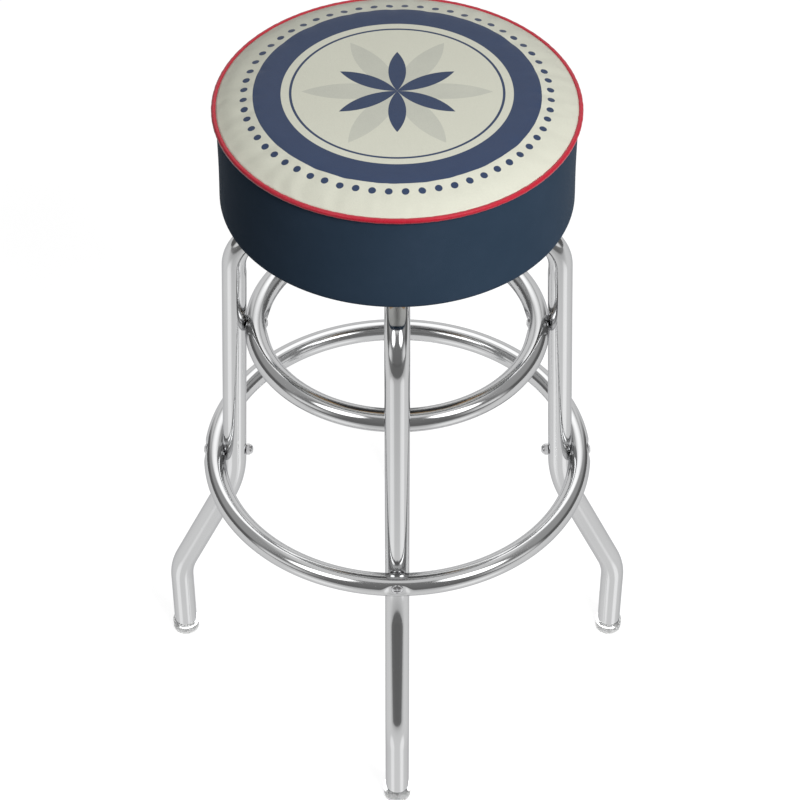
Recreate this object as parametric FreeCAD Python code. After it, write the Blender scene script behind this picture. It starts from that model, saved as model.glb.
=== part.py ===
import FreeCAD, Part

import math
import os

# A round padded swivel stool: four bent tube legs, two rings, a ball swivel and a cushion.
# Millimetres. The origin is on the floor under the seat's centre, +Z is up,
# and the four legs stand along +X, -X, +Y and -Y.

# Overall sizes
SEAT_HEIGHT = 765.0             # floor to the top of the cushion's crown
SEAT_RADIUS = 176.0             # outside of the cushion's side band
SKIRT_DEPTH = 124.0             # top of the crown down to the side band's lower edge
SWIVEL_DEPTH = 37.1             # board's underside down to the pressed top of the legs
FOOT_SPREAD = 244.0             # stool's axis to the middle of a foot

# Leg tubes
LEG_TUBE = 25.4
LEG_WALL = 1.5
LOWER_BEND_HEIGHT = 102.5       # corner where the upright foot turns into the splay
LOWER_BEND_RADIUS = 75.0
SPLAY_TOP_HEIGHT = 245.0        # corner where the splay turns into the long straight
SPLAY_TOP_SPREAD = 177.8
SPLAY_TOP_RADIUS = 150.0
TOP_CORNER_SPREAD = 164.0       # corner of the bend under the seat
TOP_BEND_RADIUS = 48.0
LAP_CLEARANCE = 0.1             # around each tube in the other tube's pressed lap
FLAT_DEPTH = 0.6                # how far the top runs are pressed flat under the swivel

# Rings
RING_TUBE = 24.0
RING_WALL = 1.5
FOOT_RING_HEIGHT = 282.2
UPPER_RING_DROP = 138.0         # top line of the legs down to the upper ring's centre
FOOT_RING_SADDLE = 3.7          # how deep the leg is pressed into the foot ring
UPPER_RING_SADDLE = 2.0
DIMPLE_DEPTH = 3.0
DIMPLE_FLOOR_RADIUS = 8.0
DIMPLE_SLOPE = 3.0              # outward run of the dimple's flank for each millimetre of depth
FOOT_SCREW_RISE = 2.5           # foot ring's screws above the ring's middle
PAD_DEPTH = 0.4                 # flat pressed into the leg under a nut or an insert
PAD_MARGIN = 0.5

# Ring screws
SCREW_DIAMETER = 6.35
SCREW_CLEARANCE = 0.2           # radial, in plain holes
SCREW_HEAD_DIAMETER = 12.7
SCREW_HEAD_HEIGHT = 3.4
RECESS_WIDTH = 1.5
RECESS_SPAN = 6.6
RECESS_DEPTH = 1.9
CAP_NUT_FLATS = 11.1
CAP_NUT_HEX_HEIGHT = 4.6
CAP_NUT_HEIGHT = 8.0
CAP_NUT_WALL = 1.6
CAP_NUT_SHOULDER = 0.3          # flat left on the hexagon round the dome
INSERT_DIAMETER = 9.5
INSERT_FLANGE_DIAMETER = 12.0
INSERT_FLANGE_THICKNESS = 0.8
INSERT_LENGTH = 13.0

# Foot caps
CAP_WALL = 1.8
CAP_BASE = 2.5
CAP_HEIGHT = 13.0
CAP_EDGE_RADIUS = 1.2

# Ball swivel
PLATE_WIDTH = 152.4
PLATE_CORNER = 14.0
PLATE_THICKNESS = 3.0
PAN_RADIUS = 50.0               # outside of the pan's flat web
PAN_RIM_RADIUS = 57.0           # where the pan's wall meets the square flange
BALL_DIAMETER = 7.94
BALL_CIRCLE = 40.0
BALL_COUNT = 22
BALL_CLEARANCE = 0.05
WEB_GAP = 4.0                   # between the webs of the two pans
CAGE_WIDTH = 12.0
CAGE_THICKNESS = 1.2
RIVET_DIAMETER = 14.0
RIVET_HEAD_DIAMETER = 26.0
RIVET_HEAD_HEIGHT = 3.0
RIVET_CLEARANCE = 0.08          # running fit of the rivet in the upper pan
WASHER_THICKNESS = 1.5
LIFT_CLEARANCE = 0.05           # between the upper pan and the washer above it

# Fasteners of the swivel
BOLT_DIAMETER = 6.35
BOLT_CLEARANCE = 0.2
BOLT_HEAD_FLATS = 11.1
BOLT_HEAD_HEIGHT = 4.0
BOLT_TAIL = 2.0
NUT_FLATS = 11.1
NUT_HEIGHT = 5.5
NUT_WASHER_DIAMETER = 15.0
NUT_WASHER_THICKNESS = 1.2
FRAME_BOLT_SPREAD = 67.0        # on the line of each leg's top run
SEAT_BOLT_SPREAD = 62.0         # near the corners of the square flange
SEAT_BOLT_REACH = 12.0          # above the upper plate's flange
TEE_NUT_BARREL = 8.6
TEE_NUT_LENGTH = 10.0
TEE_NUT_FLANGE = 19.0
TEE_NUT_FLANGE_THICKNESS = 1.5

# Cushion
VINYL = 1.2
BOARD_THICKNESS = 15.0
HEM_WIDTH = 26.0
SKIRT_EDGE_RADIUS = 5.0
CROWN_SAG = 2.5                 # fall of the crown from its centre to the shoulder
SHOULDER_WIDTH = 24.0           # the steep rounded edge of the crown
SHOULDER_INSET = 2.0            # side band's face in to the lower end of the shoulder
SHOULDER_ANGLE = 45.0
PIPING_RADIUS = 3.2
PIPING_CORD_RADIUS = 2.3
PIPING_PROUD = 0.9              # piping's centre line outside the side band's face
COVER_THICKNESS = 0.5
COVER_HOLE_MARGIN = 5.0         # around the swivel plate's corners
COVER_OVERLAP = 12.0            # onto the hem
STAPLE_COUNT = 28
STAPLE_WIDTH = 10.0
STAPLE_WIRE = 0.8
STAPLE_LEG = 7.0

# Heights and radii that follow from the sizes above
skirt_bottom = SEAT_HEIGHT - SKIRT_DEPTH
board_bottom = skirt_bottom + VINYL
board_top = board_bottom + BOARD_THICKNESS
frame_top = board_bottom - SWIVEL_DEPTH
top_run_height = frame_top + FLAT_DEPTH - LEG_TUBE / 2
frame_underside = top_run_height - LEG_TUBE / 2 + FLAT_DEPTH
upper_ring_height = top_run_height + LEG_TUBE / 2 - UPPER_RING_DROP
swivel_middle = (frame_top + board_bottom) / 2
foam_radius = SEAT_RADIUS - VINYL
leg_lean = (SPLAY_TOP_SPREAD - TOP_CORNER_SPREAD) / (top_run_height - SPLAY_TOP_HEIGHT)
QUARTERS = [0, 90, 180, 270]

UP = FreeCAD.Vector(0, 0, 1)
ALONG_X = FreeCAD.Vector(1, 0, 0)
ALONG_Y = FreeCAD.Vector(0, 1, 0)
ORIGIN = FreeCAD.Vector(0, 0, 0)


def point(x, z):
    return FreeCAD.Vector(x, 0, z)


def save(name, shape):
    shape.exportStep("parts/" + name + ".step")
    print(name, len(shape.Solids), "solids", round(shape.Volume, 1), "mm3", shape.isValid())


def turned(shape, angle):
    copy = shape.copy()
    copy.rotate(ORIGIN, UP, angle)
    return copy


def four_around(shape):
    return Part.makeCompound([turned(shape, angle) for angle in QUARTERS])


def cylinder(radius, low, high, x=0.0, y=0.0):
    return Part.makeCylinder(radius, high - low, FreeCAD.Vector(x, y, low), UP)


def box(x_low, x_high, y_low, y_high, z_low, z_high):
    corner = FreeCAD.Vector(x_low, y_low, z_low)
    return Part.makeBox(x_high - x_low, y_high - y_low, z_high - z_low, corner)


def hex_prism(flats, low, high):
    corner_radius = flats / math.sqrt(3)
    corners = []
    for step in range(7):
        angle = math.radians(60 * step)
        x = corner_radius * math.cos(angle)
        y = corner_radius * math.sin(angle)
        corners.append(FreeCAD.Vector(x, y, low))
    return Part.Face(Part.makePolygon(corners)).extrude(UP * (high - low))


def revolved(corners):
    """Turns a closed outline of straight runs in the XZ plane about the stool's axis."""
    outline = Part.makePolygon(corners + [corners[0]])
    return Part.Face(outline).revolve(ORIGIN, UP, 360)


def rounded_path(corners, radii):
    """Straight runs joined by tangent arcs, with one radius for each inner corner."""
    edges = []
    start = corners[0]
    for before, corner, after, radius in zip(corners, corners[1:], corners[2:], radii):
        inward = (before - corner).normalize()
        outward = (after - corner).normalize()
        half_angle = inward.getAngle(outward) / 2
        tangent = radius / math.tan(half_angle)
        middle = (inward + outward).normalize() * (radius / math.sin(half_angle) - radius)
        arc_start = corner + inward * tangent
        arc_end = corner + outward * tangent
        edges.append(Part.LineSegment(start, arc_start).toShape())
        edges.append(Part.Arc(arc_start, corner + middle, arc_end).toShape())
        start = arc_end
    edges.append(Part.LineSegment(start, corners[-1]).toShape())
    return Part.Wire(edges)


def leg_pipe(radius, foot_height):
    """One inverted U along X, as a solid rod of the given radius."""
    half = [
        point(FOOT_SPREAD, foot_height),
        point(FOOT_SPREAD, LOWER_BEND_HEIGHT),
        point(SPLAY_TOP_SPREAD, SPLAY_TOP_HEIGHT),
        point(TOP_CORNER_SPREAD, top_run_height),
    ]
    other_half = [point(-corner.x, corner.z) for corner in reversed(half)]
    bends = [LOWER_BEND_RADIUS, SPLAY_TOP_RADIUS, TOP_BEND_RADIUS]
    path = rounded_path(half + other_half, bends + bends[::-1])
    section = Part.Face(Part.Wire(Part.makeCircle(radius, half[0], UP)))
    return path.makePipe(section)


def leg_spread_at(height):
    """Distance from the stool's axis to the middle of a leg on its long straight."""
    return TOP_CORNER_SPREAD + (top_run_height - height) * leg_lean


def aimed_in(shape, spread, height):
    """Takes a shape made along +Z at the origin and points it at the stool's axis."""
    copy = shape.copy()
    copy.rotate(ORIGIN, ALONG_Y, -90)
    copy.translate(point(spread, height))
    return copy


def aimed_out(shape, spread, height):
    """Takes a shape made along +Z at the origin and points it away from the stool's axis."""
    copy = shape.copy()
    copy.rotate(ORIGIN, ALONG_Y, 90)
    copy.translate(point(spread, height))
    return copy


# Rings: each sits against the legs, so its size follows from the leg at its height
foot_ring_leg = leg_spread_at(FOOT_RING_HEIGHT)
upper_ring_leg = leg_spread_at(upper_ring_height)
foot_ring_radius = foot_ring_leg + LEG_TUBE / 2 + RING_TUBE / 2 - FOOT_RING_SADDLE
upper_ring_radius = upper_ring_leg - LEG_TUBE / 2 - RING_TUBE / 2 + UPPER_RING_SADDLE

# Screw lines: the foot ring's screws point inward to a cap nut, the upper ring's point outward
foot_screw_height = FOOT_RING_HEIGHT + FOOT_SCREW_RISE
foot_screw_seat = foot_ring_radius + RING_TUBE / 2 - DIMPLE_DEPTH
upper_screw_seat = upper_ring_radius - RING_TUBE / 2 + DIMPLE_DEPTH
foot_pad = leg_spread_at(foot_screw_height) - LEG_TUBE / 2 + PAD_DEPTH
upper_pad = upper_ring_leg - LEG_TUBE / 2 + PAD_DEPTH
foot_screw_grip = foot_screw_seat - foot_pad
upper_screw_grip = upper_pad - INSERT_FLANGE_THICKNESS - upper_screw_seat
screw_hole_radius = SCREW_DIAMETER / 2 + SCREW_CLEARANCE


def dimple(extra_depth):
    """Pressed pocket with a flat floor and sloping flanks, opening along -Z from the origin."""
    reach = DIMPLE_DEPTH * 2
    mouth_radius = DIMPLE_FLOOR_RADIUS + DIMPLE_SLOPE * reach
    return Part.makeCone(mouth_radius, DIMPLE_FLOOR_RADIUS, reach, UP * (extra_depth - reach), UP)


def ring(ring_radius, height, dimples, dimple_cavities, holes):
    """Hollow ring of four arcs that meet between the legs, each pressed in by its leg and screw head."""
    outside = Part.makeTorus(ring_radius, RING_TUBE / 2)
    inside = Part.makeTorus(ring_radius, RING_TUBE / 2 - RING_WALL)
    outside.translate(UP * height)
    inside.translate(UP * height)
    saddle = leg_pipe(LEG_TUBE / 2, 0)
    saddle_cavity = leg_pipe(LEG_TUBE / 2 + RING_WALL, 0)
    reach = ring_radius + RING_TUBE
    quarter = turned(box(0, reach, 0, reach, height - RING_TUBE, height + RING_TUBE), -45)
    arc = outside.common(quarter).cut(saddle).cut(dimples)
    arc = arc.cut(inside.cut(saddle_cavity).cut(dimple_cavities)).cut(holes)
    return four_around(arc)


def foot_ring():
    holes = Part.makeCylinder(screw_hole_radius, RING_TUBE * 2)
    return ring(foot_ring_radius, FOOT_RING_HEIGHT,
                aimed_in(dimple(0), foot_screw_seat, foot_screw_height),
                aimed_in(dimple(RING_WALL), foot_screw_seat, foot_screw_height),
                aimed_in(holes, foot_screw_seat + 1, foot_screw_height))


def upper_ring():
    flange_room = INSERT_FLANGE_DIAMETER / 2 + SCREW_CLEARANCE
    holes = Part.makeCylinder(screw_hole_radius, RING_TUBE)
    holes = holes.fuse(Part.makeCylinder(flange_room, RING_TUBE, UP * (RING_TUBE / 2)))
    return ring(upper_ring_radius, upper_ring_height,
                aimed_out(dimple(0), upper_screw_seat, upper_ring_height),
                aimed_out(dimple(RING_WALL), upper_screw_seat, upper_ring_height),
                aimed_out(holes, upper_screw_seat - 1, upper_ring_height))


def leg_presses(lap_from_above, grow):
    """Everything pressed into one inverted U, grown by the given amount for the tube's inside."""
    reach = LEG_TUBE
    lap = LEG_TUBE / 2 + LAP_CLEARANCE + grow
    flat = PLATE_WIDTH / 2 + FLAT_DEPTH + grow
    if lap_from_above:
        lap_box = box(-lap, lap, -reach, reach, top_run_height - grow, top_run_height + reach)
    else:
        lap_box = box(-lap, lap, -reach, reach, top_run_height - reach, top_run_height + grow)
    presses = [lap_box, box(-flat, flat, -reach, reach, frame_top - grow, frame_top + reach)]
    half_pad = NUT_WASHER_DIAMETER / 2 + PAD_MARGIN + grow
    nut_pad = box(FRAME_BOLT_SPREAD - half_pad, FRAME_BOLT_SPREAD + half_pad, -reach, reach,
                  frame_underside - reach, frame_underside + grow)
    cap_nut_pad = Part.makeCylinder(CAP_NUT_FLATS / math.sqrt(3) + PAD_MARGIN + grow, reach / 2, -UP * grow)
    insert_pad = Part.makeCylinder(INSERT_FLANGE_DIAMETER / 2 + PAD_MARGIN + grow, reach / 2, -UP * grow)
    for pad in [nut_pad,
                aimed_in(cap_nut_pad, foot_pad, foot_screw_height),
                aimed_in(insert_pad, upper_pad, upper_ring_height)]:
        presses += [pad, turned(pad, 180)]
    return presses


def leg_holes():
    bolt_hole_radius = BOLT_DIAMETER / 2 + BOLT_CLEARANCE
    bolt_hole = cylinder(bolt_hole_radius, frame_underside - 1, frame_top + 1, FRAME_BOLT_SPREAD)
    screw_hole = Part.makeCylinder(screw_hole_radius, LEG_TUBE * 2)
    insert_hole = Part.makeCylinder(INSERT_DIAMETER / 2, LEG_TUBE / 2, -UP)
    holes = [bolt_hole,
             aimed_in(screw_hole, foot_screw_seat, foot_screw_height),
             aimed_out(insert_hole, upper_pad, upper_ring_height)]
    return holes + [turned(hole, 180) for hole in holes]


def leg_frame(lap_from_above):
    """One inverted U, with the lap pressed in for the other one and flats for what bolts to it."""
    outside = leg_pipe(LEG_TUBE / 2, CAP_BASE).cut(leg_presses(lap_from_above, 0))
    inside = leg_pipe(LEG_TUBE / 2 - LEG_WALL, 0).cut(leg_presses(lap_from_above, LEG_WALL))
    return outside.cut(inside).cut(leg_holes())


def ring_screw(length):
    """Pan-head screw with a cross recess: the head's seat is at the origin, the shank runs along +Z."""
    head_radius = SCREW_HEAD_DIAMETER / 2
    dome_radius = (head_radius ** 2 + SCREW_HEAD_HEIGHT ** 2) / (2 * SCREW_HEAD_HEIGHT)
    dome = Part.makeSphere(dome_radius, FreeCAD.Vector(0, 0, dome_radius - SCREW_HEAD_HEIGHT))
    head = dome.common(Part.makeCylinder(head_radius, SCREW_HEAD_HEIGHT, -UP * SCREW_HEAD_HEIGHT))
    half_width = RECESS_WIDTH / 2
    half_span = RECESS_SPAN / 2
    floor = RECESS_DEPTH - SCREW_HEAD_HEIGHT
    for long_x, long_y in [(half_span, half_width), (half_width, half_span)]:
        head = head.cut(box(-long_x, long_x, -long_y, long_y, -SCREW_HEAD_HEIGHT, floor))
    return head.fuse(Part.makeCylinder(SCREW_DIAMETER / 2, length))


def cap_nut():
    """Cap nut that opens along -Z, with its face at the origin."""
    hexagon = hex_prism(CAP_NUT_FLATS, 0, CAP_NUT_HEX_HEIGHT)
    dome_height = CAP_NUT_HEIGHT - CAP_NUT_HEX_HEIGHT
    base_radius = CAP_NUT_FLATS / 2 - CAP_NUT_SHOULDER
    dome_radius = (base_radius ** 2 + dome_height ** 2) / (2 * dome_height)
    dome_centre = CAP_NUT_HEIGHT - dome_radius
    dome = Part.makeSphere(dome_radius, FreeCAD.Vector(0, 0, dome_centre))
    dome = dome.common(cylinder(CAP_NUT_FLATS, CAP_NUT_HEX_HEIGHT, CAP_NUT_HEIGHT))
    bore = cylinder(SCREW_DIAMETER / 2, 0, CAP_NUT_HEIGHT - CAP_NUT_WALL)
    return hexagon.fuse(dome).cut(bore).removeSplitter()


def leg_insert():
    """Threaded insert: the flange's outer face is at the origin, the barrel runs along +Z."""
    flange = Part.makeCylinder(INSERT_FLANGE_DIAMETER / 2, INSERT_FLANGE_THICKNESS)
    barrel = Part.makeCylinder(INSERT_DIAMETER / 2, INSERT_LENGTH)
    bore = Part.makeCylinder(SCREW_DIAMETER / 2, INSERT_LENGTH)
    return flange.fuse(barrel).cut(bore)


def foot_cap(x, y):
    """Moulded cap that the tube's end stands in."""
    cup = cylinder(LEG_TUBE / 2 + CAP_WALL, 0, CAP_HEIGHT, x, y)
    rims = [edge for edge in cup.Edges if edge.Closed]
    cup = cup.makeFillet(CAP_EDGE_RADIUS, rims)
    return cup.cut(cylinder(LEG_TUBE / 2, CAP_BASE, CAP_HEIGHT, x, y))


def swivel_pan():
    """Lower plate of the swivel: a square flange round a raised pan with a ball groove."""
    web_top = swivel_middle - WEB_GAP / 2
    web_bottom = web_top - PLATE_THICKNESS
    flange_top = frame_top + PLATE_THICKNESS
    wall_run = PAN_RIM_RADIUS - PAN_RADIUS
    half_width = PLATE_WIDTH / 2
    flange = box(-half_width, half_width, -half_width, half_width, frame_top, flange_top)
    uprights = [edge for edge in flange.Edges if abs(edge.Vertexes[0].Z - edge.Vertexes[1].Z) > 1]
    flange = flange.makeFillet(PLATE_CORNER, uprights)
    flange = flange.cut(cylinder(PAN_RIM_RADIUS, frame_top, flange_top))
    pan = revolved([
        point(0, web_bottom),
        point(PAN_RADIUS - PLATE_THICKNESS, web_bottom),
        point(PAN_RADIUS - PLATE_THICKNESS + wall_run, frame_top),
        point(PAN_RIM_RADIUS, frame_top),
        point(PAN_RIM_RADIUS, flange_top),
        point(PAN_RADIUS, web_top),
        point(0, web_top),
    ])
    groove_radius = BALL_DIAMETER / 2 + BALL_CLEARANCE
    bulge = Part.makeTorus(BALL_CIRCLE, groove_radius + PLATE_THICKNESS)
    bulge.translate(UP * swivel_middle)
    bulge_low = web_bottom - PLATE_THICKNESS * 2
    bulge = bulge.common(cylinder(PAN_RADIUS, bulge_low, web_top - PLATE_THICKNESS / 2))
    groove = Part.makeTorus(BALL_CIRCLE, groove_radius)
    groove.translate(UP * swivel_middle)
    return flange.fuse([pan, bulge]).cut(groove).removeSplitter()


def swivel_lower_plate():
    plate = swivel_pan().cut(cylinder(RIVET_DIAMETER / 2, 0, swivel_middle))
    for angle in QUARTERS:
        hole = cylinder(BOLT_DIAMETER / 2 + BOLT_CLEARANCE, 0, swivel_middle, FRAME_BOLT_SPREAD)
        plate = plate.cut(turned(hole, angle))
    return plate


def swivel_upper_plate():
    plate = swivel_pan().mirror(UP * swivel_middle, UP)
    plate = plate.cut(cylinder(RIVET_DIAMETER / 2 + RIVET_CLEARANCE, swivel_middle, board_bottom))
    for angle in QUARTERS:
        hole = cylinder(BOLT_DIAMETER / 2 + BOLT_CLEARANCE, swivel_middle, board_bottom + 1,
                        SEAT_BOLT_SPREAD, SEAT_BOLT_SPREAD)
        plate = plate.cut(turned(hole, angle))
    return plate


def swivel_rivet():
    """Centre rivet: its lower head holds the lower pan, its upper head the washer."""
    lower_web = swivel_middle - WEB_GAP / 2 - PLATE_THICKNESS
    upper_web = swivel_middle + WEB_GAP / 2 + PLATE_THICKNESS
    upper_head = upper_web + LIFT_CLEARANCE + WASHER_THICKNESS
    shank = cylinder(RIVET_DIAMETER / 2, lower_web, upper_head)
    lower = cylinder(RIVET_HEAD_DIAMETER / 2, lower_web - RIVET_HEAD_HEIGHT, lower_web)
    upper = cylinder(RIVET_HEAD_DIAMETER / 2, upper_head, upper_head + RIVET_HEAD_HEIGHT)
    return shank.fuse([lower, upper]).removeSplitter()


def rivet_washer():
    low = swivel_middle + WEB_GAP / 2 + PLATE_THICKNESS + LIFT_CLEARANCE
    disc = cylinder(RIVET_HEAD_DIAMETER / 2, low, low + WASHER_THICKNESS)
    return disc.cut(cylinder(RIVET_DIAMETER / 2, low, low + WASHER_THICKNESS))


def swivel_balls():
    ball = Part.makeSphere(BALL_DIAMETER / 2, FreeCAD.Vector(BALL_CIRCLE, 0, swivel_middle))
    return Part.makeCompound([turned(ball, 360 * index / BALL_COUNT) for index in range(BALL_COUNT)])


def ball_cage():
    low = swivel_middle - CAGE_THICKNESS / 2
    high = swivel_middle + CAGE_THICKNESS / 2
    cage = cylinder(BALL_CIRCLE + CAGE_WIDTH / 2, low, high)
    cage = cage.cut(cylinder(BALL_CIRCLE - CAGE_WIDTH / 2, low, high))
    return cage.cut(swivel_balls().Solids)


def bolt(head_low, head_high, shank_low, shank_high):
    head = hex_prism(BOLT_HEAD_FLATS, head_low, head_high)
    return head.fuse(cylinder(BOLT_DIAMETER / 2, shank_low, shank_high)).removeSplitter()


def frame_bolt_nuts():
    """Bolt, washer and nut that hold the swivel to one top run, standing on the stool's axis."""
    seat = frame_top + PLATE_THICKNESS
    washer_bottom = frame_underside - NUT_WASHER_THICKNESS
    nut_bottom = washer_bottom - NUT_HEIGHT
    screw = bolt(seat, seat + BOLT_HEAD_HEIGHT, nut_bottom - BOLT_TAIL, seat)
    shank = cylinder(BOLT_DIAMETER / 2, nut_bottom, frame_underside)
    washer = cylinder(NUT_WASHER_DIAMETER / 2, washer_bottom, frame_underside).cut(shank)
    nut = hex_prism(NUT_FLATS, nut_bottom, washer_bottom).cut(shank)
    return screw, washer, nut


def seat_bolt_pair():
    """Bolt and tee nut that hold the seat board to the upper plate, standing on the stool's axis."""
    head_top = board_bottom - PLATE_THICKNESS
    screw = bolt(head_top - BOLT_HEAD_HEIGHT, head_top, head_top, board_bottom + SEAT_BOLT_REACH)
    flange = cylinder(TEE_NUT_FLANGE / 2, board_top - TEE_NUT_FLANGE_THICKNESS, board_top)
    barrel = cylinder(TEE_NUT_BARREL / 2, board_top - TEE_NUT_LENGTH, board_top)
    tee_nut = flange.fuse(barrel).removeSplitter()
    bore = cylinder(BOLT_DIAMETER / 2, board_bottom, board_top)
    return screw, tee_nut.cut(bore), tee_nut.fuse(bore)


# Where the crown's shoulder starts and how its two arcs fit
shoulder_end = SEAT_RADIUS - SHOULDER_INSET
shoulder_start = shoulder_end - SHOULDER_WIDTH
crown_radius = (shoulder_start ** 2 + CROWN_SAG ** 2) / (2 * CROWN_SAG)
crown_slope = math.asin(shoulder_start / crown_radius)
shoulder_slope = math.radians(SHOULDER_ANGLE)
shoulder_radius = SHOULDER_WIDTH / (math.sin(shoulder_slope) - math.sin(crown_slope))
shoulder_centre = point(shoulder_start - shoulder_radius * math.sin(crown_slope),
                        SEAT_HEIGHT - CROWN_SAG - shoulder_radius * math.cos(crown_slope))
shoulder_drop = shoulder_radius * (math.cos(crown_slope) - math.cos(shoulder_slope))
piping_height = SEAT_HEIGHT - CROWN_SAG - shoulder_drop - (SHOULDER_INSET + PIPING_PROUD)
piping_circle = SEAT_RADIUS + PIPING_PROUD


def crown_edges(inset):
    """Half outline of the crown, the given distance inside its outer face, from the centre out."""
    crown_centre = point(0, SEAT_HEIGHT - crown_radius)
    shoulder_middle_slope = (crown_slope + shoulder_slope) / 2

    def on_arc(centre, radius, slope):
        return centre + point(math.sin(slope), math.cos(slope)) * (radius - inset)

    crown = Part.Arc(on_arc(crown_centre, crown_radius, 0),
                     on_arc(crown_centre, crown_radius, crown_slope / 2),
                     on_arc(crown_centre, crown_radius, crown_slope))
    shoulder = Part.Arc(on_arc(shoulder_centre, shoulder_radius, crown_slope),
                        on_arc(shoulder_centre, shoulder_radius, shoulder_middle_slope),
                        on_arc(shoulder_centre, shoulder_radius, shoulder_slope))
    return [crown.toShape(), shoulder.toShape()]


def filled_crown(inset, side, bottom):
    """Solid under the crown's outline, out to the given side and down to the given height."""
    edges = crown_edges(inset)
    slope_start = edges[1].Vertexes[1].Point
    corner = slope_start + point(1, -math.tan(shoulder_slope)) * (side - slope_start.x)
    path = [slope_start, corner, point(side, bottom), point(0, bottom), edges[0].Vertexes[0].Point]
    edges += [Part.LineSegment(a, b).toShape() for a, b in zip(path, path[1:])]
    return Part.Face(Part.Wire(edges)).revolve(ORIGIN, UP, 360)


def piping_ring(radius):
    cord = Part.makeTorus(piping_circle, radius)
    cord.translate(UP * piping_height)
    return cord


def side_band():
    """Vinyl skirt: up the side to the piping, round the lower edge and under the board."""
    outer = cylinder(SEAT_RADIUS, skirt_bottom, piping_height)
    lower_rim = [edge for edge in outer.Edges if edge.Closed and edge.Vertexes[0].Z < skirt_bottom + 1]
    outer = outer.makeFillet(SKIRT_EDGE_RADIUS, lower_rim)
    inner = board_blank(piping_height)
    hem_hole = cylinder(SEAT_RADIUS - HEM_WIDTH, skirt_bottom, board_bottom)
    return outer.cut(inner).cut(hem_hole).cut(piping_ring(PIPING_RADIUS))


def board_blank(high):
    """Disc from the board's underside up, with the edge that the skirt wraps round."""
    disc = cylinder(foam_radius, board_bottom, high)
    lower_rim = [edge for edge in disc.Edges if edge.Closed and edge.Vertexes[0].Z < board_bottom + 1]
    return disc.makeFillet(SKIRT_EDGE_RADIUS - VINYL, lower_rim)


def dust_cover():
    high = skirt_bottom
    low = high - COVER_THICKNESS
    hole_radius = PLATE_WIDTH / math.sqrt(2) + COVER_HOLE_MARGIN
    cover = cylinder(SEAT_RADIUS - HEM_WIDTH + COVER_OVERLAP, low, high)
    return cover.cut(cylinder(hole_radius, low, high))


def cover_staples():
    """Wire staples through the dust cover and hem into the board."""
    low = skirt_bottom - COVER_THICKNESS - STAPLE_WIRE
    middle = SEAT_RADIUS - HEM_WIDTH + COVER_OVERLAP / 2
    inner = middle - STAPLE_WIRE / 2
    outer = middle + STAPLE_WIRE / 2
    half = STAPLE_WIDTH / 2
    staple = box(inner, outer, -half, half, low, low + STAPLE_WIRE)
    high = low + STAPLE_WIRE + STAPLE_LEG
    for side in [-half, half - STAPLE_WIRE]:
        staple = staple.fuse(box(inner, outer, side, side + STAPLE_WIRE, low, high))
    staple = staple.removeSplitter()
    spacing = 360 / STAPLE_COUNT
    return Part.makeCompound([turned(staple, spacing * index) for index in range(STAPLE_COUNT)])


os.makedirs("parts", exist_ok=True)

# Legs and rings
save("leg_frame_side", leg_frame(True))
save("leg_frame_front", turned(leg_frame(False), 90))
save("foot_ring", foot_ring())
save("upper_ring", upper_ring())

# Screws, nuts and inserts at the rings, made on the +X leg and repeated on the others
foot_screw = ring_screw(foot_screw_grip + CAP_NUT_HEIGHT - CAP_NUT_WALL)
upper_screw = ring_screw(upper_screw_grip + INSERT_LENGTH)
insert_face = upper_pad - INSERT_FLANGE_THICKNESS
save("foot_ring_screws", four_around(aimed_in(foot_screw, foot_screw_seat, foot_screw_height)))
save("foot_ring_cap_nuts", four_around(aimed_in(cap_nut(), foot_pad, foot_screw_height)))
save("upper_ring_screws", four_around(aimed_out(upper_screw, upper_screw_seat, upper_ring_height)))
save("leg_inserts", four_around(aimed_out(leg_insert(), insert_face, upper_ring_height)))

# Feet
for side, x, y in [("right", FOOT_SPREAD, 0), ("back", 0, FOOT_SPREAD),
                   ("left", -FOOT_SPREAD, 0), ("front", 0, -FOOT_SPREAD)]:
    save("foot_cap_" + side, foot_cap(x, y))

# Swivel
save("swivel_lower_plate", swivel_lower_plate())
save("swivel_upper_plate", swivel_upper_plate())
save("swivel_rivet", swivel_rivet())
save("rivet_washer", rivet_washer())
save("swivel_balls", swivel_balls())
save("ball_cage", ball_cage())
for name, piece in zip(["frame_bolts", "frame_bolt_washers", "frame_bolt_nuts"], frame_bolt_nuts()):
    piece.translate(ALONG_X * FRAME_BOLT_SPREAD)
    save(name, four_around(piece))

# Cushion
seat_bolt, tee_nut, tee_nut_pocket = seat_bolt_pair()
for piece in [seat_bolt, tee_nut, tee_nut_pocket]:
    piece.translate(FreeCAD.Vector(SEAT_BOLT_SPREAD, SEAT_BOLT_SPREAD, 0))
staples = cover_staples()
save("seat_bolts", four_around(seat_bolt))
save("tee_nuts", four_around(tee_nut))
save("seat_board", board_blank(board_top).cut(four_around(tee_nut_pocket).Solids + staples.Solids))
save("seat_foam", filled_crown(VINYL, foam_radius, board_top).cut(piping_ring(PIPING_RADIUS)))
save("seat_top_panel", filled_crown(0, SEAT_RADIUS, piping_height).cut(
    [filled_crown(VINYL, foam_radius, board_top), piping_ring(PIPING_RADIUS)]))
save("seat_side_band", side_band().cut(staples.Solids))
save("seat_piping", piping_ring(PIPING_RADIUS).cut(piping_ring(PIPING_CORD_RADIUS)))
save("piping_cord", piping_ring(PIPING_CORD_RADIUS))
save("dust_cover", dust_cover().cut(staples.Solids))
save("cover_staples", staples)
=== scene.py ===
import math

import bmesh
import bpy
import numpy as np
from mathutils import Matrix, Vector


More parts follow.
